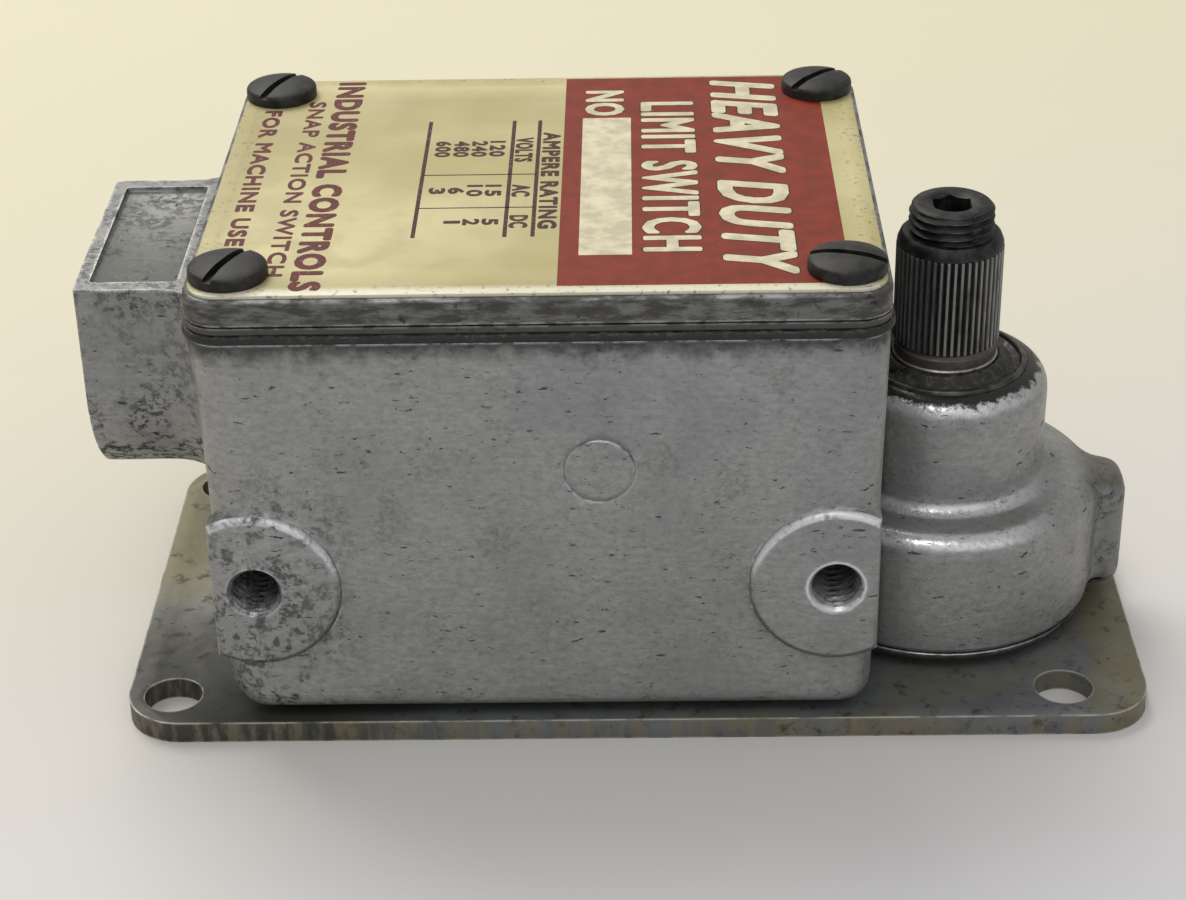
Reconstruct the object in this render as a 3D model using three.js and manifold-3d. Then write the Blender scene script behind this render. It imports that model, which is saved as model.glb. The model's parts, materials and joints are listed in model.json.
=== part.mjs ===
// Rotary limit switch in a die-cast housing on a flat steel base plate.
// Millimetres, +Z up. The origin is the middle of the base plate's underside, +X runs from the
// conduit hub to the operating shaft, and the two tapped face-mounting pads look along -Y.
import * as THREE from 'three';
import { mergeVertices } from 'three/addons/utils/BufferGeometryUtils.js';
import Module from 'manifold-3d';

const wasm = await Module();
wasm.setup();

// ---------------------------------------------------------------- driving dimensions
// The plate's margins are how far it reaches past the box on each side.
const PLATE = { left: 15.0, right: 40.7, front: -0.4, back: -2.5, thick: 3.4, corner: 8.5 };
const PLATE_HOLE = { r: 4.3, leftInset: 6.8, rightInset: 12.5, edgeInset: 7.4 };
const FOOT_HEIGHT = 1.0;
const BOX = { width: 96.7, depth: 79.9, height: 61.7, corner: 5, draft: 1.0, wall: 3.6, floor: 4.2 };
const GASKET = { thick: 1.3, rimWidth: 3.4 };
const COVER_THICK = 5.2;
const NAME_PLATE = { thick: 0.5, margin: 0.8 };
const COVER_SCREW = { insetX: 6.1, insetY: 7.05, headR: 5.5, headHeight: 2.6, shankR: 3.0, grip: 22 };
const SCREW_SLOT = { width: 1.3, depth: 1.2 };
const SCREW_BOSS_WALL = 2.6;
const HUB = { length: 18.1, r: 19.3, y: -2.0, axisBelowRim: 16.3, boreR: 12.2, panelDepth: 0.8 };
const PAD = { r: 12.4, z: 26.6, proud: 1.6, holeInset: 6.85, holeR: 3.3, holeDepth: 14, bossR: 5.6 };
const BASE_SCREW = { insetX: 18.35, insetY: 15.95, shankR: 2.4, headR: 4.6, headHeight: 2.3, bite: 8.2 };
const CLEARANCE = 0.1;        // between a fastener or pressed-in piece and its hole
const RUNNING = 0.08;         // radial clearance of a turning fit

const SHAFT_FROM_BOX = 11.5;
const SHAFT_Y = -3.0;
const JOURNAL_R = 7.5;
const PILOT_R = 3.5;
const COLLAR_HEIGHT = 3.2;
const SPLINE = { crestR: 7.94, toothDepth: 0.56, teeth: 48, length: 15.5 };
const SHOULDER = { inset: 0.64, height: 1.7 };
const THREAD = { crestR: 6.35, rootR: 5.75, pitch: 1.27, turns: 3, length: 4.5 };
const SOCKET = { acrossFlats: 5.56, depth: 7 };
const SEAL = { height: 6.5, caseThick: 0.8, caseProud: 0.4, lipProud: 1.1 };
const BUSHING_LENGTH = 7.2;
const LOWER_BUSHING = { outerR: 5.6, height: 4.4, floor: 1.4 };
const RETURN_SPRING = { wireR: 0.85, turns: 3, height: 6.0, steps: 16 };
const BARREL = { wall: 3.3, round: 4.2 };
const CHAMBER = { r: 20.2, wall: 4.1, roof: 3.9, round: 3.0, bottom: 5.0 };
const EAR = { length: 28.9, front: -4.0, back: 6.0, belowTop: 1.4, round: 4.0 };

const CRANK = { seatInset: 2.3, pinWall: 0.8, tipR: 4.2, thick: 3.4, hubWall: 3.9 };
const CRANK_PIN = { r: 2.2, shoulder: 0.4 };
const PIVOT = { fromShaft: 40.0, r: 2.5 };
const FORK = { aboveFloor: 3.4, thick: 5.6, hubR: 6.0, armWidth: 7.0, pastPin: 3.7, prong: 2.6, play: 0.35 };
const SNAP_POST = { r: 2.0, fromWall: 5.9 };
const SNAP_SPRING = { coilR: 1.8, wireR: 0.3, turns: 3, length: 2.7, aboveCarrier: 5.0, steps: 12 };
const CARRIER = { height: 16.0, hubR: 5.5, armThick: 3.0, pastBridge: 4.0 };
const BRIDGE = { arm: 21.0, width: 5.0, thick: 1.2 };
const CONTACT = { r: 2.2, thick: 1.0, spacing: 11.0 };
const BLOCK = { fromPivot: 9.0, length: 28, halfDepth: 28, channel: 9, channelFloor: 4.0, barrier: 5 };
const STRAP = { thick: 1.2, width: 5.5, tabWidth: 9.0, tabLength: 13.0 };
const TERMINAL_SCREW = { headR: 3.7, headHeight: 2.4, shankR: 2.0, bite: 7 };
const BLOCK_SCREW = { headR: 4.0, headHeight: 3.0, shankR: 2.2, sunk: 8, inset: 5 };
const PIN_CLIP = { r: 4.6, thick: 0.8 };
const GROUND_SCREW = { fromWall: 9.6, y: -2, headR: 4.6, headHeight: 2.8, shankR: 2.2 };
const GROUND_PAD = { r: 6.0, height: 4.0 };

// ---------------------------------------------------------------- derived places and levels
const PLATE_LENGTH = PLATE.left + BOX.width + PLATE.right;
const PLATE_DEPTH = PLATE.front + BOX.depth + PLATE.back;
const BOX_CENTRE = { x: (PLATE.left - PLATE.right) / 2, y: (PLATE.front - PLATE.back) / 2 };
const BOX_LEFT = BOX_CENTRE.x - BOX.width / 2;
const BOX_RIGHT = BOX_CENTRE.x + BOX.width / 2;
const BOX_FRONT = BOX_CENTRE.y - BOX.depth / 2;
const BOX_BOTTOM = PLATE.thick + FOOT_HEIGHT;
const FLOOR = BOX_BOTTOM + BOX.floor;
const RIM = BOX_BOTTOM + BOX.height;
const COVER_BOTTOM = RIM + GASKET.thick;
const NAME_BOTTOM = COVER_BOTTOM + COVER_THICK;
const NAME_TOP = NAME_BOTTOM + NAME_PLATE.thick;
const HUB_END = BOX_LEFT - HUB.length;
const HUB_Z = RIM - HUB.axisBelowRim;

// Everything on the shaft is stacked from the floor of the box upwards.
const SHAFT_X = BOX_RIGHT + SHAFT_FROM_BOX;
const FORK_BOTTOM = FLOOR + FORK.aboveFloor;
const FORK_TOP = FORK_BOTTOM + FORK.thick;
const CRANK_BOTTOM = FORK_TOP + 1.0;
const CRANK_TOP = CRANK_BOTTOM + CRANK.thick;
const CHAMBER_ROOF = CRANK_TOP + 0.5;
const CHAMBER_TOP = CHAMBER_ROOF + CHAMBER.roof;
const SPRING_BOTTOM = CRANK_TOP + RETURN_SPRING.wireR + 0.55;
const BUSHING_BOTTOM = SPRING_BOTTOM + RETURN_SPRING.height + RETURN_SPRING.wireR + 0.15;
const SEAL_SEAT = BUSHING_BOTTOM + BUSHING_LENGTH + 0.4;
const BARREL_TOP = SEAL_SEAT + SEAL.height;
const COLLAR_BOTTOM = BARREL_TOP + 0.5;
const SPLINE_BOTTOM = COLLAR_BOTTOM + COLLAR_HEIGHT;
const SPLINE_TOP = SPLINE_BOTTOM + SPLINE.length;
const SHOULDER_TOP = SPLINE_TOP + SHOULDER.height;
const SHAFT_TOP = SHOULDER_TOP + THREAD.length;
const LOWER_BUSHING_SEAT = CHAMBER.bottom + LOWER_BUSHING.floor;

// Round the shaft, each piece is sized from the journal outwards.
const COLLAR_R = JOURNAL_R + 0.3;
const LIP_R = COLLAR_R + 0.25;
const SPRING_R = JOURNAL_R + RETURN_SPRING.wireR + 1.15;
const BUSHING_R = SPRING_R + RETURN_SPRING.wireR + 1.15;
const SEAL_BORE_R = BUSHING_R + 0.9;
const BARREL_R = SEAL_BORE_R + BARREL.wall;
const CRANK_SEAT_R = JOURNAL_R - CRANK.seatInset;
const CRANK_BORE_R = CRANK_SEAT_R + CLEARANCE;
const CRANK_PIN_TOP_R = CRANK_PIN.r - CRANK_PIN.shoulder;
const CRANK_ARM_R = CRANK_BORE_R + CRANK.pinWall + CRANK_PIN_TOP_R + CLEARANCE;

// The contact mechanism turns on a pin beside the shaft.
const PIVOT_X = SHAFT_X - PIVOT.fromShaft;
const CRANK_PIN_X = SHAFT_X - CRANK_ARM_R;
const CARRIER_BOTTOM = FORK_TOP + 1.4;
const CARRIER_TOP = CARRIER_BOTTOM + CARRIER.height;
const CONTACT_Z = (CARRIER_BOTTOM + CARRIER_TOP) / 2;
const SNAP_Z = CARRIER_BOTTOM + SNAP_SPRING.aboveCarrier;
const SNAP_POST_X = BOX_RIGHT - BOX.wall - SNAP_POST.fromWall;
const BRIDGE_X = PIVOT_X - BRIDGE.arm;
const BLOCK_RIGHT = PIVOT_X - BLOCK.fromPivot;
const BLOCK_LEFT = BLOCK_RIGHT - BLOCK.length;
const BLOCK_TOP = CARRIER_TOP + 3.0;
const GROUND_X = BOX_LEFT + BOX.wall + GROUND_SCREW.fromWall;

// ---------------------------------------------------------------- materials
const FINISH = {
  casting: [0x85878a, 0.5, 0.7], plate: [0x7d7a5f, 0.5, 0.6], blackSteel: [0x2a2a2b, 0.45, 0.8],
  rubber: [0x17191a, 0.8, 0.0], print: [0xd8cfa0, 0.35, 0.4], bronze: [0xa8803c, 0.35, 0.9],
  steel: [0x9a9da0, 0.3, 1.0], phenolic: [0x3a2a22, 0.55, 0.0], brass: [0xc09a4a, 0.3, 1.0],
  silver: [0xd2d4d6, 0.25, 1.0], nylon: [0xd9d5c8, 0.5, 0.0],
};
const group = new THREE.Group();

/** Adds one named piece to the switch. */
function addPart(name, geometry, finish) {
  const [color, roughness, metalness] = FINISH[finish];
  const mesh = new THREE.Mesh(geometry, new THREE.MeshStandardMaterial({ color, roughness, metalness }));
  mesh.name = name;
  group.add(mesh);
  return mesh;
}

// ---------------------------------------------------------------- joins and cuts
/** A closed geometry as a solid that can be joined and cut. */
function solid(geometry) {
  const bare = geometry.index ? geometry.toNonIndexed() : geometry.clone();
  bare.deleteAttribute('normal');
  bare.deleteAttribute('uv');
  const merged = mergeVertices(bare, 1e-4);
  return new wasm.Manifold(new wasm.Mesh({
    numProp: 3,
    vertProperties: new Float32Array(merged.attributes.position.array),
    triVerts: new Uint32Array(merged.index.array),
  }));
}

/** A solid back as a geometry. */
function shell(body) {
  const mesh = body.getMesh();
  const geometry = new THREE.BufferGeometry();
  geometry.setAttribute('position', new THREE.BufferAttribute(new Float32Array(mesh.vertProperties), 3));
  geometry.setIndex(new THREE.BufferAttribute(new Uint32Array(mesh.triVerts), 1));
  return geometry;
}

/** Joins the first list of geometries and cuts the second list away. */
function build(joined, cut = []) {
  let body = solid(joined[0]);
  for (const geometry of joined.slice(1)) body = body.add(solid(geometry));
  for (const geometry of cut) body = body.subtract(solid(geometry));
  return shell(body);
}

// ---------------------------------------------------------------- plain shapes
function block(x0, x1, y0, y1, z0, z1) {
  return new THREE.BoxGeometry(x1 - x0, y1 - y0, z1 - z0)
    .translate((x0 + x1) / 2, (y0 + y1) / 2, (z0 + z1) / 2);
}

/** Upright cylinder. */
function post(x, y, r, z0, z1, sides = 24) {
  return new THREE.CylinderGeometry(r, r, z1 - z0, sides).rotateX(Math.PI / 2).translate(x, y, (z0 + z1) / 2);
}

/** Cylinder along X. */
function barX(y, z, r, x0, x1, sides = 24) {
  return new THREE.CylinderGeometry(r, r, x1 - x0, sides).rotateZ(Math.PI / 2).translate((x0 + x1) / 2, y, z);
}

/** Cylinder along Y. */
function barY(x, z, r, y0, y1, sides = 24) {
  return new THREE.CylinderGeometry(r, r, y1 - y0, sides).translate(x, (y0 + y1) / 2, z);
}

/** Turned piece: a closed outline of [radius, height] points, listed anticlockwise, spun round Z. */
function turned(x, y, outline, sides = 48) {
  const points = outline.map(([r, z]) => new THREE.Vector2(r, z));
  return new THREE.LatheGeometry(points, sides).rotateX(Math.PI / 2).translate(x, y, 0);
}

/** Points of a quarter-round between two directions, in degrees. */
function arc(cx, cy, r, from, to, steps = 4) {
  return Array.from({ length: steps + 1 }, (_, i) => {
    const angle = THREE.MathUtils.degToRad(from + (to - from) * i / steps);
    return [cx + r * Math.cos(angle), cy + r * Math.sin(angle)];
  });
}

function outlineShape(points) {
  return new THREE.Shape(points.map(([x, y]) => new THREE.Vector2(x, y)));
}

/** Plate with rounded corners, centred on x, y. */
function roundedPlate(x, y, width, depth, corner, z0, z1, steps = 5) {
  const w = width / 2 - corner;
  const d = depth / 2 - corner;
  const shape = outlineShape([
    ...arc(w, d, corner, 0, 90, steps), ...arc(-w, d, corner, 90, 180, steps),
    ...arc(-w, -d, corner, 180, 270, steps), ...arc(w, -d, corner, 270, 360, steps),
  ]);
  return new THREE.ExtrudeGeometry(shape, { depth: z1 - z0, bevelEnabled: false }).translate(x, y, z0);
}

/** Rounded plate that narrows by draft on each side from its top to its bottom. */
function draftedBlock(width, depth, corner, draft, z0, z1) {
  const geometry = roundedPlate(0, 0, width, depth, corner, z0, z1);
  const position = geometry.attributes.position;
  for (let i = 0; i < position.count; i += 1) {
    if (position.getZ(i) < (z0 + z1) / 2) {
      position.setX(i, position.getX(i) * (1 - 2 * draft / width));
      position.setY(i, position.getY(i) * (1 - 2 * draft / depth));
    }
  }
  return geometry.translate(BOX_CENTRE.x, BOX_CENTRE.y, 0);
}

/** Round wire wound on a helix round an axis through the origin of the curve, pitch along Z. */
class Helix extends THREE.Curve {
  constructor(r, height, turns) {
    super();
    Object.assign(this, { r, height, turns });
  }

  getPoint(t, target = new THREE.Vector3()) {
    const angle = 2 * Math.PI * this.turns * t;
    return target.set(this.r * Math.cos(angle), this.r * Math.sin(angle), this.height * t);
  }
}

function coilSpring(coilR, wireR, turns, height, stepsPerTurn) {
  const section = outlineShape(arc(0, 0, wireR, 0, 300, 5));
  return new THREE.ExtrudeGeometry(section, {
    steps: turns * stepsPerTurn, extrudePath: new Helix(coilR, height, turns), bevelEnabled: false,
  });
}

const SIDES = [-1, 1];
/** Four places inset from the sides of the box. */
const boxCorners = ({ insetX, insetY }) => SIDES.flatMap((sideY) => SIDES.map((sideX) => [
  BOX_CENTRE.x + sideX * (BOX.width / 2 - insetX), BOX_CENTRE.y + sideY * (BOX.depth / 2 - insetY),
]));
const coverScrewPlaces = boxCorners(COVER_SCREW);
const baseScrewPlaces = boxCorners(BASE_SCREW);
const blockScrewPlaces = [
  [BLOCK_LEFT + BLOCK_SCREW.inset, SHAFT_Y - BLOCK.halfDepth + BLOCK_SCREW.inset],
  [BLOCK_RIGHT - BLOCK_SCREW.inset, SHAFT_Y + BLOCK.halfDepth - BLOCK_SCREW.inset],
];

// ---------------------------------------------------------------- base plate
const holeXs = [-PLATE_LENGTH / 2 + PLATE_HOLE.leftInset, PLATE_LENGTH / 2 - PLATE_HOLE.rightInset];
const holeYs = SIDES.map((side) => side * (PLATE_DEPTH / 2 - PLATE_HOLE.edgeInset));
const plateHoles = holeXs.flatMap((x) => holeYs.map((y) => (
  post(x, y, PLATE_HOLE.r, -1, PLATE.thick + 1, 32)
)));
const countersinks = baseScrewPlaces.map(([x, y]) => turned(x, y, [
  [0, -1], [BASE_SCREW.headR + CLEARANCE, -1], [BASE_SCREW.headR + CLEARANCE, 0],
  [BASE_SCREW.shankR + CLEARANCE, BASE_SCREW.headHeight], [BASE_SCREW.shankR + CLEARANCE, PLATE.thick + 1],
  [0, PLATE.thick + 1],
], 24));
addPart('base_plate', build(
  [roundedPlate(0, 0, PLATE_LENGTH, PLATE_DEPTH, PLATE.corner, 0, PLATE.thick, 8)],
  [...plateHoles, ...countersinks],
), 'plate');

// ---------------------------------------------------------------- housing casting
/** Flat-topped round conduit hub, outline in Y and Z swept along X. */
function hubBody() {
  const flatTop = RIM - HUB_Z;
  const shape = outlineShape([[-HUB.r, flatTop], ...arc(0, 0, HUB.r, 180, 360, 16), [HUB.r, flatTop]]);
  return new THREE.ExtrudeGeometry(shape, { depth: HUB.length + BOX.wall - 1, bevelEnabled: false })
    .rotateX(Math.PI / 2).rotateZ(Math.PI / 2).translate(HUB_END, HUB.y, HUB_Z);
}

/** Barrel round the shaft standing on the wider housing of the crank chamber. */
function barrelBody() {
  const r = CHAMBER.r + CHAMBER.wall;
  const { bottom, round } = CHAMBER;
  return turned(SHAFT_X, SHAFT_Y, [
    [0, bottom], ...arc(r - 1, bottom + 1, 1, 270, 360, 2),
    ...arc(r - round, CHAMBER_TOP - round, round, 0, 90),
    ...arc(BARREL_R + 2, CHAMBER_TOP + 2, 2, 270, 180, 3),
    ...arc(BARREL_R - BARREL.round, BARREL_TOP - BARREL.round, BARREL.round, 0, 90, 5), [0, BARREL_TOP],
  ], 48);
}

/** Cast ear at the end of the chamber housing. */
function earBody() {
  const x1 = SHAFT_X + EAR.length;
  const top = CHAMBER_TOP - EAR.belowTop;
  const shape = outlineShape([
    [SHAFT_X, CHAMBER.bottom], ...arc(x1 - 2, CHAMBER.bottom + 2, 2, 270, 360, 3),
    ...arc(x1 - EAR.round, top - EAR.round, EAR.round, 0, 90), [SHAFT_X, top],
  ]);
  return new THREE.ExtrudeGeometry(shape, { depth: EAR.back - EAR.front, bevelEnabled: false })
    .rotateX(Math.PI / 2).translate(0, SHAFT_Y + EAR.back, 0);
}

const padXs = SIDES.map((side) => BOX_CENTRE.x + side * (BOX.width / 2 - PAD.holeInset));
const padFront = BOX_FRONT + BOX.draft - PAD.proud;
/** Round raised pad at one lower corner of the front face, cut square at the box's side. */
function padBody(side) {
  const x = padXs[(side + 1) / 2];
  const sideX = BOX_CENTRE.x + side * (BOX.width / 2 - BOX.draft * 0.6);
  const span = [x - side * (PAD.r + 1), sideX].sort((a, b) => a - b);
  const round = solid(barY(x, PAD.z, PAD.r, padFront, BOX_FRONT + BOX.wall, 40));
  return shell(round.intersect(solid(block(...span, padFront - 1, BOX_FRONT + BOX.wall + 1,
    PAD.z - PAD.r - 1, PAD.z + PAD.r + 1))));
}

const housingSolids = [
  draftedBlock(BOX.width, BOX.depth, BOX.corner, BOX.draft, BOX_BOTTOM, RIM),
  hubBody(), barrelBody(), earBody(), ...SIDES.map(padBody),
];
const cavity = draftedBlock(BOX.width - 2 * BOX.wall, BOX.depth - 2 * BOX.wall, BOX.corner - 2,
  BOX.draft, FLOOR, RIM + 1);
const chamber = post(SHAFT_X, SHAFT_Y, CHAMBER.r, FLOOR, CHAMBER_ROOF, 48);
const housingBosses = [
  ...coverScrewPlaces.map(([x, y]) => post(x, y, COVER_SCREW.shankR + SCREW_BOSS_WALL, FLOOR - 1, RIM)),
  ...baseScrewPlaces.map(([x, y]) => post(x, y, BASE_SCREW.shankR + SCREW_BOSS_WALL + 0.6,
    PLATE.thick, PLATE.thick + BASE_SCREW.bite + 2)),
  ...padXs.map((x) => barY(x, PAD.z, PAD.bossR, BOX_FRONT + 1.5, padFront + PAD.holeDepth + 3)),
  post(PIVOT_X, SHAFT_Y, FORK.hubR, FLOOR - 1, FORK_BOTTOM - 0.4),
  post(SHAFT_X, SHAFT_Y, LOWER_BUSHING.outerR + 2.4, FLOOR - 1, LOWER_BUSHING_SEAT + LOWER_BUSHING.height),
  post(GROUND_X, GROUND_SCREW.y, GROUND_PAD.r, FLOOR - 1, FLOOR + GROUND_PAD.height),
];
const housingHoles = [
  ...coverScrewPlaces.map(([x, y]) => post(x, y, COVER_SCREW.shankR + CLEARANCE,
    NAME_TOP - COVER_SCREW.grip - 1.5, RIM + 1, 20)),
  ...baseScrewPlaces.map(([x, y]) => post(x, y, BASE_SCREW.shankR + CLEARANCE,
    PLATE.thick - 1, PLATE.thick + BASE_SCREW.bite + 0.8, 20)),
  ...padXs.map((x) => barY(x, PAD.z, PAD.holeR, padFront - 1, padFront + PAD.holeDepth, 24)),
  ...blockScrewPlaces.map(([x, y]) => post(x, y, BLOCK_SCREW.shankR + CLEARANCE, FLOOR - 3.2, FLOOR + 1, 20)),
  barX(HUB.y, HUB_Z, HUB.boreR, HUB_END - 1, BOX_LEFT + BOX.wall + 4, 40),
  block(HUB_END + 2, BOX_LEFT - 3.8, HUB.y - HUB.r + 2.6, HUB.y + HUB.r - 2.6, RIM - HUB.panelDepth, RIM + 1),
  post(SHAFT_X, SHAFT_Y, BUSHING_R + CLEARANCE, CHAMBER_ROOF - 1, SEAL_SEAT + 1, 48),
  post(SHAFT_X, SHAFT_Y, SEAL_BORE_R, SEAL_SEAT, BARREL_TOP + 1, 48),
  post(SHAFT_X, SHAFT_Y, LOWER_BUSHING.outerR + CLEARANCE, LOWER_BUSHING_SEAT,
    LOWER_BUSHING_SEAT + LOWER_BUSHING.height + 1, 32),
  post(PIVOT_X, SHAFT_Y, PIVOT.r + CLEARANCE, FLOOR - 2.5, FORK_BOTTOM, 20),
  post(GROUND_X, GROUND_SCREW.y, GROUND_SCREW.shankR + CLEARANCE, FLOOR - 1,
    FLOOR + GROUND_PAD.height + 1, 20),
];
let housing = solid(build(housingSolids, [cavity, chamber]));
for (const boss of housingBosses) housing = housing.add(solid(boss));
for (const hole of housingHoles) housing = housing.subtract(solid(hole));
addPart('housing', shell(housing), 'casting');

// ---------------------------------------------------------------- base screws
baseScrewPlaces.forEach(([x, y], i) => addPart(`base_screw_${i + 1}`, build([turned(x, y, [
  [0, 0], [BASE_SCREW.headR, 0], [BASE_SCREW.shankR, BASE_SCREW.headHeight],
  [BASE_SCREW.shankR, PLATE.thick + BASE_SCREW.bite], [0, PLATE.thick + BASE_SCREW.bite],
], 20)], [block(x - 5, x + 5, y - SCREW_SLOT.width / 2, y + SCREW_SLOT.width / 2, -1, SCREW_SLOT.depth)]),
'blackSteel'));

// ---------------------------------------------------------------- gasket, cover, name plate, cover screws
const screwHoles = (z0, z1) => coverScrewPlaces.map(([x, y]) => (
  post(x, y, COVER_SCREW.shankR + 0.3, z0, z1, 20)
));
const rimInner = roundedPlate(BOX_CENTRE.x, BOX_CENTRE.y, BOX.width - 2 * GASKET.rimWidth,
  BOX.depth - 2 * GASKET.rimWidth, BOX.corner - 2, RIM - 1, COVER_BOTTOM + 1);
const rimOuter = roundedPlate(BOX_CENTRE.x, BOX_CENTRE.y, BOX.width, BOX.depth, BOX.corner,
  RIM, COVER_BOTTOM);
const gasketEars = coverScrewPlaces.map(([x, y]) => (
  post(x, y, COVER_SCREW.shankR + SCREW_BOSS_WALL, RIM, COVER_BOTTOM)
));
addPart('cover_gasket', build([build([rimOuter], [rimInner]), ...gasketEars],
  screwHoles(RIM - 1, COVER_BOTTOM + 1)), 'rubber');
addPart('cover', build(
  [roundedPlate(BOX_CENTRE.x, BOX_CENTRE.y, BOX.width, BOX.depth, BOX.corner, COVER_BOTTOM, NAME_BOTTOM)],
  screwHoles(COVER_BOTTOM - 1, NAME_BOTTOM + 1),
), 'casting');
addPart('name_plate', build(
  [roundedPlate(BOX_CENTRE.x, BOX_CENTRE.y, BOX.width - 2 * NAME_PLATE.margin,
    BOX.depth - 2 * NAME_PLATE.margin, BOX.corner - NAME_PLATE.margin, NAME_BOTTOM, NAME_TOP)],
  screwHoles(NAME_BOTTOM - 1, NAME_TOP + 1),
), 'print');
const slotTurns = [40, 4, 42, 38];
coverScrewPlaces.forEach(([x, y], i) => {
  const top = NAME_TOP + COVER_SCREW.headHeight;
  const half = SCREW_SLOT.width / 2;
  const slot = block(-COVER_SCREW.headR - 1, COVER_SCREW.headR + 1, -half, half,
    top - SCREW_SLOT.depth, top + 1).rotateZ(THREE.MathUtils.degToRad(slotTurns[i])).translate(x, y, 0);
  addPart(`cover_screw_${i + 1}`, build([turned(x, y, [
    [0, NAME_TOP - COVER_SCREW.grip], [COVER_SCREW.shankR, NAME_TOP - COVER_SCREW.grip],
    [COVER_SCREW.shankR, NAME_TOP], [COVER_SCREW.headR, NAME_TOP],
    ...arc(COVER_SCREW.headR - 0.6, top - 0.8, 0.6, 0, 60, 2), [0, top],
  ], 24)], [slot]), 'blackSteel');
});

// ---------------------------------------------------------------- operating shaft
const splineRootR = SPLINE.crestR - SPLINE.toothDepth;
/** Straight serrations: rounded teeth cut round the clamping length. */
function splineBody() {
  const step = 2 * Math.PI / SPLINE.teeth;
  const points = [];
  for (let i = 0; i < SPLINE.teeth; i += 1) {
    for (const [share, r] of [[-0.2, SPLINE.crestR], [0.2, SPLINE.crestR], [0.5, splineRootR]]) {
      const angle = (i + share) * step;
      points.push([r * Math.cos(angle), r * Math.sin(angle)]);
    }
  }
  return new THREE.ExtrudeGeometry(outlineShape(points), { depth: SPLINE.length + 0.4, bevelEnabled: false })
    .translate(SHAFT_X, SHAFT_Y, SPLINE_BOTTOM - 0.2);
}

const threadOutline = [];
for (let i = 0; i < THREAD.turns; i += 1) {
  const z = SHOULDER_TOP + 0.5 + i * THREAD.pitch;
  threadOutline.push([THREAD.rootR, z], [THREAD.crestR, z + THREAD.pitch * 0.42],
    [THREAD.crestR, z + THREAD.pitch * 0.58]);
}
const shaftOutline = [
  [0, LOWER_BUSHING_SEAT + 0.3], [PILOT_R, LOWER_BUSHING_SEAT + 0.3], [PILOT_R, CRANK_BOTTOM],
  [CRANK_SEAT_R, CRANK_BOTTOM], [CRANK_SEAT_R, CRANK_TOP], [JOURNAL_R, CRANK_TOP],
  [JOURNAL_R, COLLAR_BOTTOM], [COLLAR_R, COLLAR_BOTTOM], [COLLAR_R, SPLINE_BOTTOM],
  [splineRootR - 0.4, SPLINE_BOTTOM], [splineRootR - 0.4, SPLINE_TOP], [SPLINE.crestR, SPLINE_TOP],
  [SPLINE.crestR - SHOULDER.inset, SHOULDER_TOP], [THREAD.crestR, SHOULDER_TOP],
  [THREAD.crestR, SHOULDER_TOP + 0.3], ...threadOutline,
  [THREAD.rootR, SHAFT_TOP - 0.7], [THREAD.crestR - 0.1, SHAFT_TOP - 0.5], [THREAD.rootR + 0.1, SHAFT_TOP],
  [0, SHAFT_TOP],
];
const hexRadius = SOCKET.acrossFlats / Math.sqrt(3);
const hexSocket = post(SHAFT_X, SHAFT_Y, hexRadius, SHAFT_TOP - SOCKET.depth, SHAFT_TOP + 1, 6);
addPart('operating_shaft', build([turned(SHAFT_X, SHAFT_Y, shaftOutline, 36), splineBody()], [hexSocket]),
  'blackSteel');

// ---------------------------------------------------------------- shaft bearings and seal
addPart('upper_bushing', turned(SHAFT_X, SHAFT_Y, [
  [JOURNAL_R + RUNNING, BUSHING_BOTTOM], [BUSHING_R, BUSHING_BOTTOM],
  [BUSHING_R, BUSHING_BOTTOM + BUSHING_LENGTH], [JOURNAL_R + RUNNING, BUSHING_BOTTOM + BUSHING_LENGTH],
  [JOURNAL_R + RUNNING, BUSHING_BOTTOM],
]), 'bronze');
addPart('lower_bushing', turned(SHAFT_X, SHAFT_Y, [
  [PILOT_R + RUNNING, LOWER_BUSHING_SEAT], [LOWER_BUSHING.outerR, LOWER_BUSHING_SEAT],
  [LOWER_BUSHING.outerR, LOWER_BUSHING_SEAT + LOWER_BUSHING.height],
  [PILOT_R + RUNNING, LOWER_BUSHING_SEAT + LOWER_BUSHING.height], [PILOT_R + RUNNING, LOWER_BUSHING_SEAT],
], 32), 'bronze');
const caseInnerR = SEAL_BORE_R - CLEARANCE - SEAL.caseThick;
addPart('seal_case', turned(SHAFT_X, SHAFT_Y, [
  [caseInnerR, SEAL_SEAT], [SEAL_BORE_R - CLEARANCE, SEAL_SEAT],
  [SEAL_BORE_R - CLEARANCE, BARREL_TOP + SEAL.caseProud], [caseInnerR, BARREL_TOP + SEAL.caseProud],
  [caseInnerR, SEAL_SEAT],
]), 'blackSteel');
addPart('shaft_seal', turned(SHAFT_X, SHAFT_Y, [
  [LIP_R, SEAL_SEAT + 1], [caseInnerR - CLEARANCE, SEAL_SEAT + 1], [caseInnerR - CLEARANCE, BARREL_TOP],
  [LIP_R + 1.8, BARREL_TOP + 0.1], [LIP_R + 1.0, BARREL_TOP + SEAL.lipProud],
  [LIP_R, BARREL_TOP + SEAL.lipProud], [LIP_R, SEAL_SEAT + 1],
]), 'rubber');
addPart('return_spring', coilSpring(SPRING_R, RETURN_SPRING.wireR, RETURN_SPRING.turns,
  RETURN_SPRING.height, RETURN_SPRING.steps).translate(SHAFT_X, SHAFT_Y, SPRING_BOTTOM), 'steel');

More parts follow.
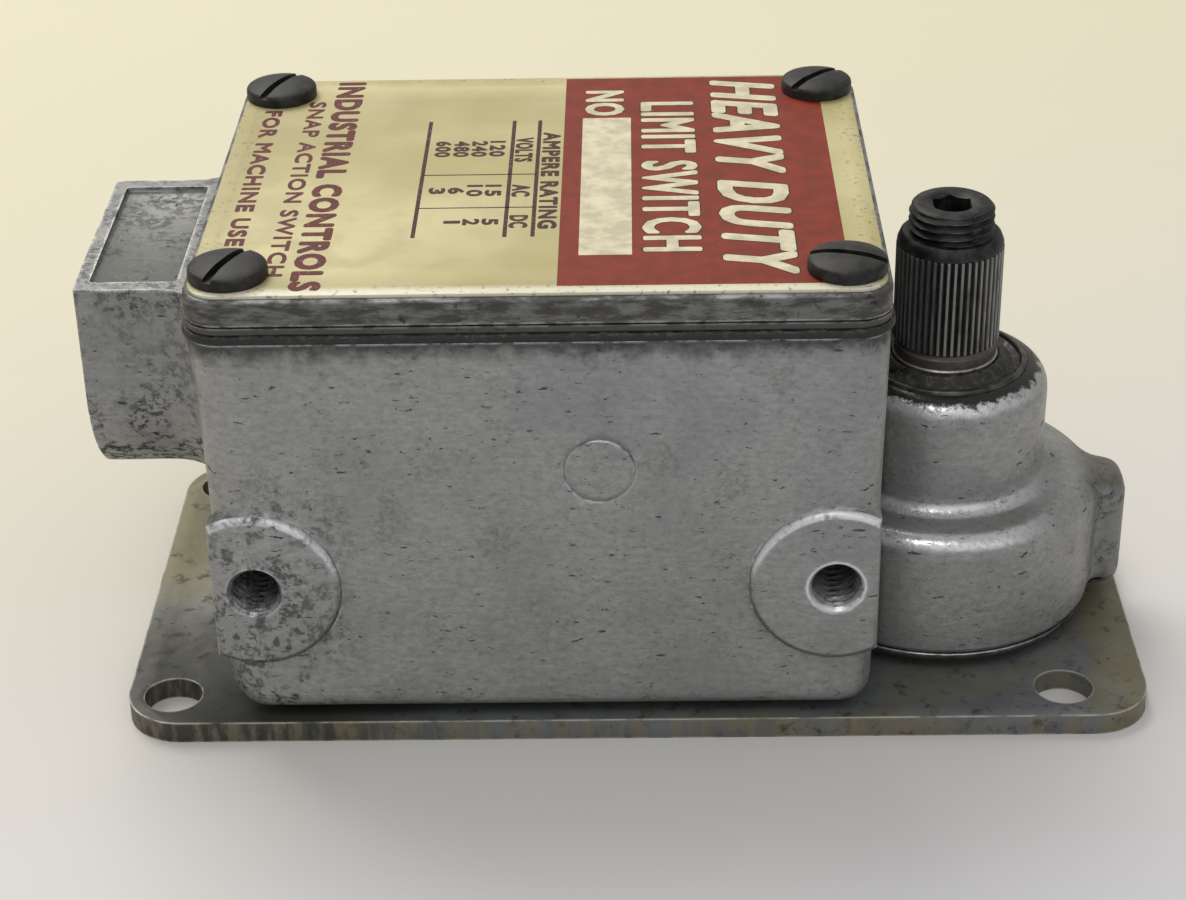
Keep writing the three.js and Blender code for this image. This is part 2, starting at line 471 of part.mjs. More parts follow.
// ---------------------------------------------------------------- crank on the shaft's lower end
addPart('crank', build([
  post(SHAFT_X, SHAFT_Y, CRANK_BORE_R + CRANK.hubWall, CRANK_BOTTOM, CRANK_TOP, 40),
  post(CRANK_PIN_X, SHAFT_Y, CRANK.tipR, CRANK_BOTTOM, CRANK_TOP, 28),
  block(CRANK_PIN_X, SHAFT_X, SHAFT_Y - CRANK.tipR, SHAFT_Y + CRANK.tipR, CRANK_BOTTOM, CRANK_TOP),
], [
  post(SHAFT_X, SHAFT_Y, CRANK_BORE_R, CRANK_BOTTOM - 1, CRANK_TOP + 1, 48),
  post(CRANK_PIN_X, SHAFT_Y, CRANK_PIN_TOP_R + CLEARANCE, CRANK_BOTTOM - 1, CRANK_TOP + 1, 20),
]), 'steel');
addPart('crank_pin', turned(CRANK_PIN_X, SHAFT_Y, [
  [0, FORK_BOTTOM + 0.4], [CRANK_PIN.r, FORK_BOTTOM + 0.4], [CRANK_PIN.r, CRANK_BOTTOM],
  [CRANK_PIN_TOP_R, CRANK_BOTTOM], [CRANK_PIN_TOP_R, CRANK_TOP], [0, CRANK_TOP],
], 20), 'steel');

// ---------------------------------------------------------------- pivot pin, fork lever, snap spring
addPart('pivot_pin', post(PIVOT_X, SHAFT_Y, PIVOT.r, FLOOR - 2.2, CARRIER_TOP + 2.4, 20), 'steel');
addPart('pin_clip', turned(PIVOT_X, SHAFT_Y, [
  [PIVOT.r + RUNNING, CARRIER_TOP + 0.4], [PIN_CLIP.r, CARRIER_TOP + 0.4],
  [PIN_CLIP.r, CARRIER_TOP + 0.4 + PIN_CLIP.thick], [PIVOT.r + RUNNING, CARRIER_TOP + 0.4 + PIN_CLIP.thick],
  [PIVOT.r + RUNNING, CARRIER_TOP + 0.4],
], 24), 'blackSteel');
const slotHalf = CRANK_PIN.r + FORK.play;
const forkHalf = slotHalf + FORK.prong;
const slotStart = CRANK_PIN_X - CRANK_PIN.r - 1.6;
const forkEnd = CRANK_PIN_X + FORK.pastPin;
addPart('fork_lever', build([
  post(PIVOT_X, SHAFT_Y, FORK.hubR, FORK_BOTTOM, FORK_TOP, 32),
  block(PIVOT_X, slotStart - 1, SHAFT_Y - FORK.armWidth / 2, SHAFT_Y + FORK.armWidth / 2,
    FORK_BOTTOM, FORK_TOP),
  block(slotStart - 4, forkEnd, SHAFT_Y - forkHalf, SHAFT_Y + forkHalf, FORK_BOTTOM, FORK_TOP),
  post(SNAP_POST_X, SHAFT_Y, SNAP_POST.r, FORK_TOP - 1, SNAP_Z + 2.6, 20),
], [
  post(PIVOT_X, SHAFT_Y, PIVOT.r + RUNNING, FORK_BOTTOM - 1, FORK_TOP + 1, 20),
  block(slotStart, forkEnd + 1, SHAFT_Y - slotHalf, SHAFT_Y + slotHalf, FORK_BOTTOM - 1, FORK_TOP + 1),
]), 'steel');
const springStart = SNAP_POST_X - SNAP_POST.r - 0.4 - SNAP_SPRING.wireR - SNAP_SPRING.length;
const noseTip = springStart - SNAP_SPRING.wireR - 0.5;
addPart('snap_spring', coilSpring(SNAP_SPRING.coilR, SNAP_SPRING.wireR, SNAP_SPRING.turns,
  SNAP_SPRING.length, SNAP_SPRING.steps)
  .rotateY(Math.PI / 2).translate(springStart, SHAFT_Y, SNAP_Z), 'steel');

// ---------------------------------------------------------------- contact carrier and bridges
const armHalf = CARRIER.armThick / 2;
addPart('contact_carrier', build([
  post(PIVOT_X, SHAFT_Y, CARRIER.hubR, CARRIER_BOTTOM, CARRIER_TOP, 32),
  block(BRIDGE_X - CARRIER.pastBridge, PIVOT_X, SHAFT_Y - armHalf, SHAFT_Y + armHalf,
    CARRIER_BOTTOM, CARRIER_TOP),
  block(PIVOT_X, noseTip, SHAFT_Y - 2.5, SHAFT_Y + 2.5, SNAP_Z - 3, SNAP_Z + 3),
], [post(PIVOT_X, SHAFT_Y, PIVOT.r + RUNNING, CARRIER_BOTTOM - 1, CARRIER_TOP + 1, 20)]), 'nylon');
for (const side of SIDES) {
  const inner = SHAFT_Y + side * (armHalf + 0.2);
  const outer = inner + side * BRIDGE.thick;
  const tip = outer + side * CONTACT.thick;
  const faces = [Math.min(inner, outer), Math.max(inner, outer)];
  const tips = SIDES.map((up) => barY(BRIDGE_X, CONTACT_Z + up * CONTACT.spacing / 2, CONTACT.r,
    Math.min(inner, tip), Math.max(inner, tip), 16));
  addPart(side < 0 ? 'bridge_contact_front' : 'bridge_contact_back', build([
    block(BRIDGE_X - BRIDGE.width / 2, BRIDGE_X + BRIDGE.width / 2, ...faces,
      CONTACT_Z - CARRIER.height / 2, CONTACT_Z + CARRIER.height / 2), ...tips,
  ]), 'brass');
}

// ---------------------------------------------------------------- contact block
const blockBounds = [SHAFT_Y - BLOCK.halfDepth, SHAFT_Y + BLOCK.halfDepth];
const terminalPlaces = SIDES.flatMap((side) => SIDES.map((level) => ({
  name: `${side < 0 ? 'front' : 'back'}_${level < 0 ? 'lower' : 'upper'}`,
  side, level, x: BRIDGE_X + (level < 0 ? -9 : 1.5), y: SHAFT_Y + side * (BLOCK.channel + 6.5),
})));
addPart('contact_block', build([
  block(BLOCK_LEFT, BLOCK_RIGHT, ...blockBounds, FLOOR, BLOCK_TOP),
  block(BLOCK_LEFT, BLOCK_RIGHT, SHAFT_Y - BLOCK.halfDepth, SHAFT_Y - BLOCK.halfDepth + 2,
    BLOCK_TOP - 1, BLOCK_TOP + BLOCK.barrier),
  block(BLOCK_LEFT, BLOCK_RIGHT, SHAFT_Y + BLOCK.halfDepth - 2, SHAFT_Y + BLOCK.halfDepth,
    BLOCK_TOP - 1, BLOCK_TOP + BLOCK.barrier),
], [
  block(BLOCK_LEFT - 1, BLOCK_RIGHT + 1, SHAFT_Y - BLOCK.channel, SHAFT_Y + BLOCK.channel,
    FLOOR + BLOCK.channelFloor, BLOCK_TOP + 1),
  ...terminalPlaces.map(({ x, y }) => post(x, y, TERMINAL_SCREW.shankR + CLEARANCE,
    BLOCK_TOP - TERMINAL_SCREW.bite, BLOCK_TOP + 1, 16)),
  ...blockScrewPlaces.flatMap(([x, y]) => [
    post(x, y, BLOCK_SCREW.shankR + CLEARANCE, FLOOR - 1, BLOCK_TOP + BLOCK.barrier + 1, 20),
    post(x, y, BLOCK_SCREW.headR + 0.4, BLOCK_TOP - BLOCK_SCREW.sunk, BLOCK_TOP + BLOCK.barrier + 1, 24),
  ]),
]), 'phenolic');
blockScrewPlaces.forEach(([x, y], i) => {
  const seat = BLOCK_TOP - BLOCK_SCREW.sunk;
  const top = seat + BLOCK_SCREW.headHeight;
  addPart(`block_screw_${i + 1}`, build([turned(x, y, [
    [0, FLOOR - 3], [BLOCK_SCREW.shankR, FLOOR - 3], [BLOCK_SCREW.shankR, seat], [BLOCK_SCREW.headR, seat],
    [BLOCK_SCREW.headR, top], [0, top],
  ], 20)], [block(x - 5, x + 5, y - 0.5, y + 0.5, top - SCREW_SLOT.depth, top + 1)]), 'steel');
});

/** Bent strap: a tab on the block's top, a leg down the channel's side, a foot that holds the contact. */
function strapBody({ side, level, x, y }) {
  const wall = SHAFT_Y + side * BLOCK.channel;
  const face = wall - side * STRAP.thick;
  const leg = [Math.min(wall, face), Math.max(wall, face)];
  const contactZ = CONTACT_Z + level * CONTACT.spacing / 2;
  const tabTop = BLOCK_TOP + STRAP.thick;
  const tabEnd = wall + side * STRAP.tabLength;
  const footX = [Math.min(x, BRIDGE_X) - STRAP.width / 2, Math.max(x, BRIDGE_X) + STRAP.width / 2];
  return build([
    block(x - STRAP.tabWidth / 2, x + STRAP.tabWidth / 2, Math.min(face, tabEnd), Math.max(face, tabEnd),
      BLOCK_TOP, tabTop),
    block(x - STRAP.width / 2, x + STRAP.width / 2, ...leg, contactZ - STRAP.width / 2, tabTop),
    block(...footX, ...leg, contactZ - STRAP.width / 2, contactZ + STRAP.width / 2),
  ], [post(x, y, TERMINAL_SCREW.shankR + CLEARANCE, BLOCK_TOP - 1, tabTop + 1, 16)]);
}

for (const place of terminalPlaces) {
  const { name, side, level, x, y } = place;
  addPart(`terminal_${name}`, strapBody(place), 'brass');
  const face = SHAFT_Y + side * (BLOCK.channel - STRAP.thick);
  const tip = face - side * CONTACT.thick;
  addPart(`fixed_contact_${name}`, barY(BRIDGE_X, CONTACT_Z + level * CONTACT.spacing / 2, CONTACT.r,
    Math.min(face, tip), Math.max(face, tip), 20), 'silver');
  const seat = BLOCK_TOP + STRAP.thick;
  const top = seat + TERMINAL_SCREW.headHeight;
  addPart(`terminal_screw_${name}`, build([turned(x, y, [
    [0, seat - TERMINAL_SCREW.bite + 0.6], [TERMINAL_SCREW.shankR, seat - TERMINAL_SCREW.bite + 0.6],
    [TERMINAL_SCREW.shankR, seat], [TERMINAL_SCREW.headR, seat], [TERMINAL_SCREW.headR, top - 0.5],
    [TERMINAL_SCREW.headR - 0.6, top], [0, top],
  ], 16)], [block(x - 5, x + 5, y - 0.45, y + 0.45, top - 1, top + 1)]), 'steel');
}

// ---------------------------------------------------------------- ground screw
const groundSeat = FLOOR + GROUND_PAD.height;
addPart('ground_screw', build([turned(GROUND_X, GROUND_SCREW.y, [
  [0, FLOOR - 0.8], [GROUND_SCREW.shankR, FLOOR - 0.8], [GROUND_SCREW.shankR, groundSeat],
  [GROUND_SCREW.headR, groundSeat], [GROUND_SCREW.headR, groundSeat + GROUND_SCREW.headHeight],
  [0, groundSeat + GROUND_SCREW.headHeight],
], 6)], [block(GROUND_X - 6, GROUND_X + 6, GROUND_SCREW.y - 0.5, GROUND_SCREW.y + 0.5,
  groundSeat + GROUND_SCREW.headHeight - 1.2, groundSeat + GROUND_SCREW.headHeight + 1)]), 'brass');

export default group;
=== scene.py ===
"""Rotary limit switch: a die-cast box on a steel base plate, with a sprung, serrated operating shaft.

The sections follow the switch as it is put together, from the base plate up to the cover and its screws.
"""

import json
import math

import bmesh
import bpy
from mathutils import Matrix, Vector

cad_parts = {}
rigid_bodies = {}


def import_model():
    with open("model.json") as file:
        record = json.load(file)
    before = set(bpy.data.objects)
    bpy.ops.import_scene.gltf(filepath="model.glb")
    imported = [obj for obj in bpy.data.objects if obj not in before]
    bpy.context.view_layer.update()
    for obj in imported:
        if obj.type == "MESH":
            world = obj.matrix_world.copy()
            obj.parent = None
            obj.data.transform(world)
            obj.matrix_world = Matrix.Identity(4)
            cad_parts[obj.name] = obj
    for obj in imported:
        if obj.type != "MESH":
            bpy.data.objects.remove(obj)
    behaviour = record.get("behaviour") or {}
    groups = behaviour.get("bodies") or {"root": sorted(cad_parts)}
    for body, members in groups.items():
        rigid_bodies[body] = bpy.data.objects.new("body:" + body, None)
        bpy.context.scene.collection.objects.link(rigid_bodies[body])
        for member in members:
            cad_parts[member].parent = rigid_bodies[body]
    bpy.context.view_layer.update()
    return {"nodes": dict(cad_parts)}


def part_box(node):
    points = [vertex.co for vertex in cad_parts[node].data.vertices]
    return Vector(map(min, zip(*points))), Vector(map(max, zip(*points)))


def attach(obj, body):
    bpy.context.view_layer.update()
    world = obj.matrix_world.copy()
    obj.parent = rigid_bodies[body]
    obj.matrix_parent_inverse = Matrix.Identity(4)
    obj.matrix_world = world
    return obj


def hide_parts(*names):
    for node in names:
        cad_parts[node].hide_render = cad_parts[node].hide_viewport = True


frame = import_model()

# ---------------------------------------------------------------- base plate
# A 3.4 mm steel plate, blanked and drilled, yellow passivated and since worn to grey steel.
# Four bolts hold it to the machine, and four countersunk screws from below hold the box to it.
MM = 0.001


def alone(obj):
    """Deselects all but one object and makes it the active one."""
    for other in bpy.context.view_layer.objects:
        other.select_set(False)
    obj.select_set(True)
    bpy.context.view_layer.objects.active = obj
    return obj


def added(operator, **options):
    """A new object from an operator, made with nothing else selected."""
    for other in bpy.context.view_layer.objects:
        other.select_set(False)
    operator(**options)
    return bpy.context.view_layer.objects.active


def applied(obj):
    """Puts an object's place, turn and size into its mesh."""
    alone(obj)
    bpy.ops.object.transform_apply(location=True, rotation=True, scale=True)
    return obj


def apply_modifier(obj, kind, **settings):
    """Adds one modifier, sets it and applies it."""
    alone(obj)
    modifier = obj.modifiers.new(kind.lower(), kind)
    for name, value in settings.items():
        setattr(modifier, name, value)
    bpy.ops.object.modifier_apply(modifier=modifier.name)
    return obj


def in_edit_mode(obj, work):
    """Runs work with the object in edit mode and everything in it selected."""
    alone(obj)
    bpy.ops.object.mode_set(mode="EDIT")
    bpy.ops.mesh.select_mode(type="VERT")
    bpy.ops.mesh.select_all(action="SELECT")
    work()
    bpy.ops.object.mode_set(mode="OBJECT")
    return obj


def select_edges(obj, wanted):
    """In edit mode, selects the edges whose two ends pass the test."""
    bpy.ops.mesh.select_mode(type="EDGE")
    bpy.ops.mesh.select_all(action="DESELECT")
    mesh = bmesh.from_edit_mesh(obj.data)
    for edge in mesh.edges:
        edge.select_set(wanted(edge.verts[0].co, edge.verts[1].co))
    mesh.select_flush_mode()
    bmesh.update_edit_mesh(obj.data)


def rounded(obj, wanted, width, segments):
    """Rounds the edges whose two ends pass the test."""
    def bevel_edges():
        select_edges(obj, wanted)
        bpy.ops.mesh.bevel(offset=width, segments=segments, affect="EDGES")
    return in_edit_mode(obj, bevel_edges)


def boolean(obj, operation, *tools):
    """Cuts the tools out of an object, or adds them to it, and removes the tools."""
    for tool in tools:
        apply_modifier(obj, "BOOLEAN", object=tool, operation=operation, solver="EXACT")
        bpy.data.objects.remove(tool)
    return obj


def upright(edge_start, edge_end):
    """Whether an edge stands upright, or nearly so."""
    return abs((edge_end - edge_start).normalized().z) > 0.99


def block(low, high):
    """Plain box between two corners."""
    low, high = Vector(low), Vector(high)
    obj = added(bpy.ops.mesh.primitive_cube_add, size=1, location=(low + high) / 2)
    obj.scale = high - low
    return applied(obj)


def slab(low, high, corner, steps=10):
    """Box with rounded upright corners."""
    return rounded(block(low, high), upright, corner, steps)


def rod(centre, radius, low, high, axis="Z", sides=48):
    """Round bar between two places on an axis; centre gives the other two coordinates."""
    place = {"Z": (*centre, (low + high) / 2), "Y": (centre[0], (low + high) / 2, centre[1]),
             "X": ((low + high) / 2, *centre)}[axis]
    turn = {"Z": (0, 0, 0), "Y": (math.pi / 2, 0, 0), "X": (0, math.pi / 2, 0)}[axis]
    return applied(added(bpy.ops.mesh.primitive_cylinder_add, vertices=sides, radius=radius, depth=high - low,
                         location=place, rotation=turn))


def drilled(obj, places, radius):
    """Drills upright holes of one radius right through a piece."""
    heights = [vertex.co.z for vertex in obj.data.vertices]
    return boolean(obj, "DIFFERENCE", *[
        rod(place, radius, min(heights) - MM, max(heights) + MM) for place in places])


def soften(obj, width, segments=2, angle=40):
    """Breaks the sharp edges, as tumbling or wear does."""
    return apply_modifier(obj, "BEVEL", width=width, segments=segments, limit_method="ANGLE",
                          angle_limit=math.radians(angle), harden_normals=False)


class Field:
    """A shader socket that ordinary arithmetic turns into Math nodes."""

    def __init__(self, finish, socket):
        self.finish, self.socket = finish, socket

    def maths(self, operation, *values):
        return self.finish.node("ShaderNodeMath", {"operation": operation}, dict(enumerate(values)))

    def __add__(self, other):
        return self.maths("ADD", self, other)

    def __sub__(self, other):
        return self.maths("SUBTRACT", self, other)

    def __rsub__(self, other):
        return self.maths("SUBTRACT", other, self)

    def __mul__(self, other):
        return self.maths("MULTIPLY", self, other)

    __radd__, __rmul__ = __add__, __mul__

    def darkest(self, other):
        return self.maths("MINIMUM", self, other)

    def strongest(self, other):
        return self.maths("MAXIMUM", self, other)


class Finish:
    """One material. Constants go straight on the shader, and patterns are mixed from fields."""

    def __init__(self, name, **constants):
        self.material = bpy.data.materials.new(name)
        self.material.use_nodes = True
        self.tree = self.material.node_tree
        self.shader = self.tree.nodes["Principled BSDF"]
        for socket, value in constants.items():
            self.shader.inputs[socket.replace("_", " ")].default_value = value
        self.place = self.node("ShaderNodeTexCoord", output="Object")

    def node(self, kind, settings=None, inputs=None, output=0):
        """Adds a node, sets its settings, then fills its sockets with values or links."""
        node = self.tree.nodes.new(kind)
        for name, value in (settings or {}).items():
            setattr(node, name, value)
        for key, value in (inputs or {}).items():
            if isinstance(value, Field):
                self.tree.links.new(value.socket, node.inputs[key])
            else:
                node.inputs[key].default_value = value
        return Field(self, node.outputs[output])

    def stretched(self, size, turn=(0, 0, 0)):
        """Object coordinates in units of the three sizes given, in millimetres."""
        scale = [1 / (MM * s) for s in size]
        return self.node("ShaderNodeMapping", {}, {"Vector": self.place, "Scale": scale, "Rotation": turn})

    def noise(self, size, detail=3.0, rough=0.55, turn=(0, 0, 0), output=0):
        """Cloudy pattern whose blots are about size millimetres across, from 0 to 1."""
        size = size if isinstance(size, tuple) else (size, size, size)
        return self.node("ShaderNodeTexNoise", {}, {
            "Vector": self.stretched(size, turn), "Scale": 1.0, "Detail": detail, "Roughness": rough}, output)

    def cells(self, size, turn=(0, 0, 0)):
        """Distance to the nearest of many scattered points, about size millimetres apart."""
        size = size if isinstance(size, tuple) else (size, size, size)
        return self.node("ShaderNodeTexVoronoi", {}, {
            "Vector": self.stretched(size, turn), "Scale": 1.0}, "Distance")

    def step(self, field, low, high):
        """Soft threshold: 0 below low and 1 above high, or the other way round if low is higher."""
        return self.node("ShaderNodeMapRange", {"interpolation_type": "SMOOTHSTEP"}, {
            "Value": field, "From Min": low, "From Max": high})

    def patches(self, low, high, size, detail=3.0, rough=0.55, turn=(0, 0, 0)):
        """Cloudy pattern cut to a mask by the soft threshold."""
        return self.step(self.noise(size, detail, rough, turn), low, high)

    def specks(self, size, share, patch_size, patch_low, turn=(0, 0, 0)):
        """Small dark spots of mixed size that gather in patches."""
        spots = self.step(self.cells(size, turn) + self.noise(0.5) * 0.25, share + 0.16, share + 0.04)
        return spots * self.patches(patch_low, patch_low + 0.12, patch_size)

    def mix(self, share, first, second):
        """Blends two colours or two links to colours."""
        paint = [(*c, 1.0) if isinstance(c, tuple) and len(c) == 3 else c for c in (first, second)]
        return self.node("ShaderNodeMix", {"data_type": "RGBA"}, {0: share, 6: paint[0], 7: paint[1]}, 2)

    def along(self, axis):
        """One object coordinate, in metres."""
        return self.node("ShaderNodeSeparateXYZ", {}, {0: self.place}, axis)

    def facing(self, axis):
        """How far the surface faces along an axis, from -1 to 1."""
        normal = self.node("ShaderNodeNewGeometry", output="Normal")
        return self.node("ShaderNodeSeparateXYZ", {}, {0: normal}, axis)

    def beyond(self, axis, low, high):
        """Mask of what lies past a place on an axis, soft from low to high, in metres."""
        return self.step(self.along(axis), low, high)

    def turned_to(self, axis, low, high):
        """Mask of the faces that look along an axis."""
        return self.step(self.facing(axis), low, high)

    def vector(self, operation, first, second, output=0):
        """Adds a Vector Math node."""
        return self.node("ShaderNodeVectorMath", {"operation": operation}, {0: first, 1: second}, output)

    def crevices(self, reach):
        """How far the surface is hidden by its own surroundings within reach, in millimetres."""
        return 1 - self.node("ShaderNodeAmbientOcclusion", {"samples": 6, "only_local": True},
                             {"Distance": reach * MM}, "AO")

    def edges(self, radius, low, high):
        """Mask of the sharp edges, where the surface turns within the radius in millimetres."""
        bevelled = self.node("ShaderNodeBevel", {"samples": 4}, {"Radius": radius * MM})
        flat = self.node("ShaderNodeNewGeometry", output="Normal")
        return self.step(1 - self.vector("DOT_PRODUCT", bevelled, flat, "Value"), low, high)

    def bump(self, height, depth):
        """Normal from a height field, depth in millimetres."""
        return self.node("ShaderNodeBump", {}, {"Height": height, "Distance": depth * MM, "Strength": 1.0})

    def wear(self, **links):
        """Feeds fields to the shader's sockets and returns the material."""
        for socket, field in links.items():
            self.tree.links.new(field.socket, self.shader.inputs[socket.replace("_", " ")])
        return self.material


def fit(obj, name, body, nodes, material, angle=35):
    """Names a finished piece, gives it its finish and its body, and hides the CAD nodes it stands for."""
    alone(obj)
    bpy.ops.object.shade_smooth_by_angle(angle=math.radians(angle))
    obj.name = obj.data.name = name
    obj.data.materials.clear()
    obj.data.materials.append(material)
    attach(obj, body)
    if nodes:
        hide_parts(*nodes)
    return obj


plate_low, plate_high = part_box("base_plate")
PLATE_CORNER = 8.5 * MM
PLATE_HOLE_R = 4.3 * MM
PLATE_EDGE = 0.35 * MM
SINK_WIDE, SINK_NARROW, SINK_DEEP, SINK_MIDDLE = 4.75 * MM, 2.5 * MM, 2.32 * MM, 1.15 * MM
PLATE_HOLES = [(x * MM, y * MM) for x in (-69.4, 63.7) for y in (-31.1, 31.1)]
base_screws = [f"base_screw_{i}" for i in range(1, 5)]


def middle(node):
    """Middle of a CAD node's box."""
    low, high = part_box(node)
    return (low + high) / 2


plate = slab(plate_low, plate_high, PLATE_CORNER)
drilled(plate, PLATE_HOLES, PLATE_HOLE_R)
for screw in base_screws:
    boolean(plate, "DIFFERENCE", applied(added(
        bpy.ops.mesh.primitive_cone_add, vertices=40, radius1=SINK_WIDE, radius2=SINK_NARROW, depth=SINK_DEEP,
        location=(*middle(screw).xy, plate_low.z + SINK_MIDDLE))))
soften(plate, PLATE_EDGE, segments=3)

steel = Finish("yellow_passivated_steel", Metallic=0.4)
olive = steel.mix(steel.noise(9.0), (0.12, 0.106, 0.05), (0.19, 0.176, 0.1))
grey = steel.mix(steel.noise(5.0), (0.085, 0.092, 0.094), (0.19, 0.2, 0.208))
worn_end = steel.step(steel.along("X") + steel.noise(22.0) * 0.05, -0.02, -0.05) * steel.step(
    steel.along("Y") + steel.noise(7.0, 4.0) * 0.024, -0.004, 0.02)
blotches = steel.patches(0.5, 0.62, 16.0, detail=5.0)
shaft_corner = steel.step(steel.along("X") + steel.noise(8.0) * 0.02, 0.076, 0.082)
# Painted shade: the front half of the plate's left end is painted near black.
front_shade_mask = steel.step(steel.along("Y") + steel.noise(6.0, 4.0) * 0.02, 0.012, -0.01)
left_front_shade = front_shade_mask * steel.beyond("X", -0.02, -0.05)
bare = steel.mix(left_front_shade * 0.9, steel.mix(worn_end.strongest(blotches * 0.45).strongest(shaft_corner * 0.8),
                                         grey, olive), (0.034, 0.034, 0.026))
grime = steel.patches(0.53, 0.68, 3.2, detail=6.0, rough=0.7)
near_box = steel.specks(2.0, 0.12, 12.0, 0.48)
streaky_edge = steel.turned_to("Z", 0.5, 0.2) * steel.patches(0.42, 0.6, (2.0, 2.0, 9.0), 5.0, 0.65)
rusted = steel.mix(streaky_edge * 0.7, bare, (0.19, 0.165, 0.105))
soiled = steel.mix(grime * 0.8, rusted, (0.04, 0.037, 0.028))
pitted = steel.mix(near_box, soiled, (0.02, 0.02, 0.018))
rubbed = steel.edges(0.5, 0.02, 0.12) * steel.patches(0.3, 0.55, 4.0)
plate_finish = steel.wear(
    Base_Color=steel.mix(rubbed * 0.95, pitted, (0.66, 0.64, 0.56)),
    Roughness=steel.noise(2.5) * 0.25 + 0.34 - rubbed * 0.15 + grime * 0.15,
    Normal=steel.bump(steel.noise(0.7) * 0.5 - near_box - grime * 0.4, 0.06))
fit(plate, "plate", "case", ["base_plate"], plate_finish)

# ---------------------------------------------------------------- housing
# One aluminium die casting: box, conduit hub, shaft barrel over the crank chamber, ear and two pads.
# It was tumbled and left bare, so it shows flow streaks, pits, and grime with painted shade in every corner.
# The rim, the bores and the tapped holes were machined afterwards. Painted highlights lie on the barrel and
# the pad rims, and painted shade in the tapped holes, under the pad rims and at the foot of the chamber.
cover_low, cover_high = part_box("cover")
casting_low, casting_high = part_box("housing")
rim_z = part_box("cover_gasket")[0].z
shaft_xy = middle("operating_shaft").xy
box_bottom = plate_high.z + 1.0 * MM
BOX_CORNER, BOX_DRAFT, BOX_FOOT_ROUND = 5.0 * MM, 1.0 * MM, 3.6 * MM
RIM_SPARE = 2 * MM          # metal above the rim, milled off after the casting is fused
HUB_R, HUB_Y, HUB_BELOW_RIM = 19.3 * MM, -2.0 * MM, 16.3 * MM
PAD_R, PAD_Z, PAD_IN, PAD_EDGE = 12.4 * MM, 26.6 * MM, 6.85 * MM, 1.15 * MM
CHAMBER_R, CHAMBER_TOP, CHAMBER_BOTTOM = 24.3 * MM, 26.4 * MM, 5.0 * MM
BARREL_R, BARREL_TOP = 15.7 * MM, 44.5 * MM
hub_z = rim_z - HUB_BELOW_RIM
HAIR = 0.01 * MM
ALONG_X, ALONG_Y = (0, math.pi / 2, 0), (math.pi / 2, 0, 0)


def linked(name, data):
    """New object in the scene for a mesh, a lamp or a camera."""
    obj = bpy.data.objects.new(name, data)
    bpy.context.scene.collection.objects.link(obj)
    return obj


def clean(obj):
    """Merges doubles and turns every face outwards."""
    def work():
        bpy.ops.mesh.remove_doubles(threshold=0.002 * MM)
        bpy.ops.mesh.normals_make_consistent(inside=False)
    return in_edit_mode(obj, work)


def joined(obj, *others):
    """Joins objects into the first one, as overlapping shells."""
    alone(obj)
    for other in others:
        other.select_set(True)
    bpy.ops.object.join()
    return obj


def extrude(step):
    """In edit mode, extrudes what is selected along a vector."""
    bpy.ops.mesh.extrude_region_move(TRANSFORM_OT_translate={"value": step})


def arc(centre, radius, start, end, steps=6):
    """Points round a circle between two directions, in degrees."""
    angles = [math.radians(start + (end - start) * i / steps) for i in range(steps + 1)]
    return [(centre[0] + radius * math.cos(a), centre[1] + radius * math.sin(a)) for a in angles]


def drawn(points):
    """Chain of vertices through the points, each extruded from the last."""
    obj = applied(added(bpy.ops.mesh.primitive_plane_add, size=1 * MM, location=points[0]))

    def extrude_chain():
        bpy.ops.mesh.merge(type="CENTER")
        for start, end in zip(points, points[1:]):
            extrude(Vector(end) - Vector(start))
    return in_edit_mode(obj, extrude_chain)


def turned(outline, centre, steps=96):
    """Spins an outline of (radius, height) points, which starts and ends on the axis, round Z."""
    obj = drawn([(centre[0] + r, centre[1], z) for r, z in outline])

    def spin():
        bpy.ops.mesh.spin(steps=steps, angle=2 * math.pi, center=(*centre, 0), axis=(0, 0, 1))
    in_edit_mode(obj, spin)
    return clean(obj)


def prism(points, sweep):
    """Flat outline filled and swept along a vector."""
    obj = drawn(points)

    def sweep_face():
        bpy.ops.mesh.edge_face_add()
        extrude(sweep)
    in_edit_mode(obj, sweep_face)
    return clean(obj)


def stacked(centre, radius, sides, heights):
    """Upright round bar whose rings are extruded from one height to the next."""
    obj = applied(added(bpy.ops.mesh.primitive_circle_add, vertices=sides, radius=radius, fill_type="NGON",
                        location=(*centre, heights[0])))

    def stack_rings():
        for start, end in zip(heights, heights[1:]):
            extrude((0, 0, end - start))
    return in_edit_mode(obj, stack_rings)


def threaded(centre, root, crest, pitch, low, high, sides=48, rows=6):
    """Upright bar with a V thread: a stack of rings, drawn out to the helix."""
    count = round((high - low) / pitch * rows)
    obj = stacked(centre, root, sides, [low + (high - low) * i / count for i in range(count + 1)])
    for vertex in obj.data.vertices:
        x, y = vertex.co.x - centre[0], vertex.co.y - centre[1]
        phase = ((vertex.co.z - low) / pitch - math.atan2(y, x) / (2 * math.pi)) % 1
        grow = 1 + (crest / root - 1) * (1 - abs(2 * phase - 1))
        vertex.co.x, vertex.co.y = centre[0] + x * grow, centre[1] + y * grow
    return clean(obj)


def laid_down(obj, turn):
    """Turns an upright shape about the origin, for what lies along X or Y."""
    obj.rotation_euler = turn
    return applied(obj)


box = slab((cover_low.x, cover_low.y, box_bottom), (cover_high.x, cover_high.y, rim_z + RIM_SPARE),
           BOX_CORNER)


def at_foot(edge_start, edge_end):
    """Whether an edge lies round the foot of the box."""
    return max(edge_start.z, edge_end.z) < box_bottom + HAIR


def draw_in_foot():
    """Drafts the walls."""
    size = cover_high - cover_low
    select_edges(box, at_foot)
    bpy.ops.transform.resize(
        value=(1 - 2 * BOX_DRAFT / size.x, 1 - 2 * BOX_DRAFT / size.y, 1),
        center_override=((cover_low.x + cover_high.x) / 2, (cover_low.y + cover_high.y) / 2, 0))


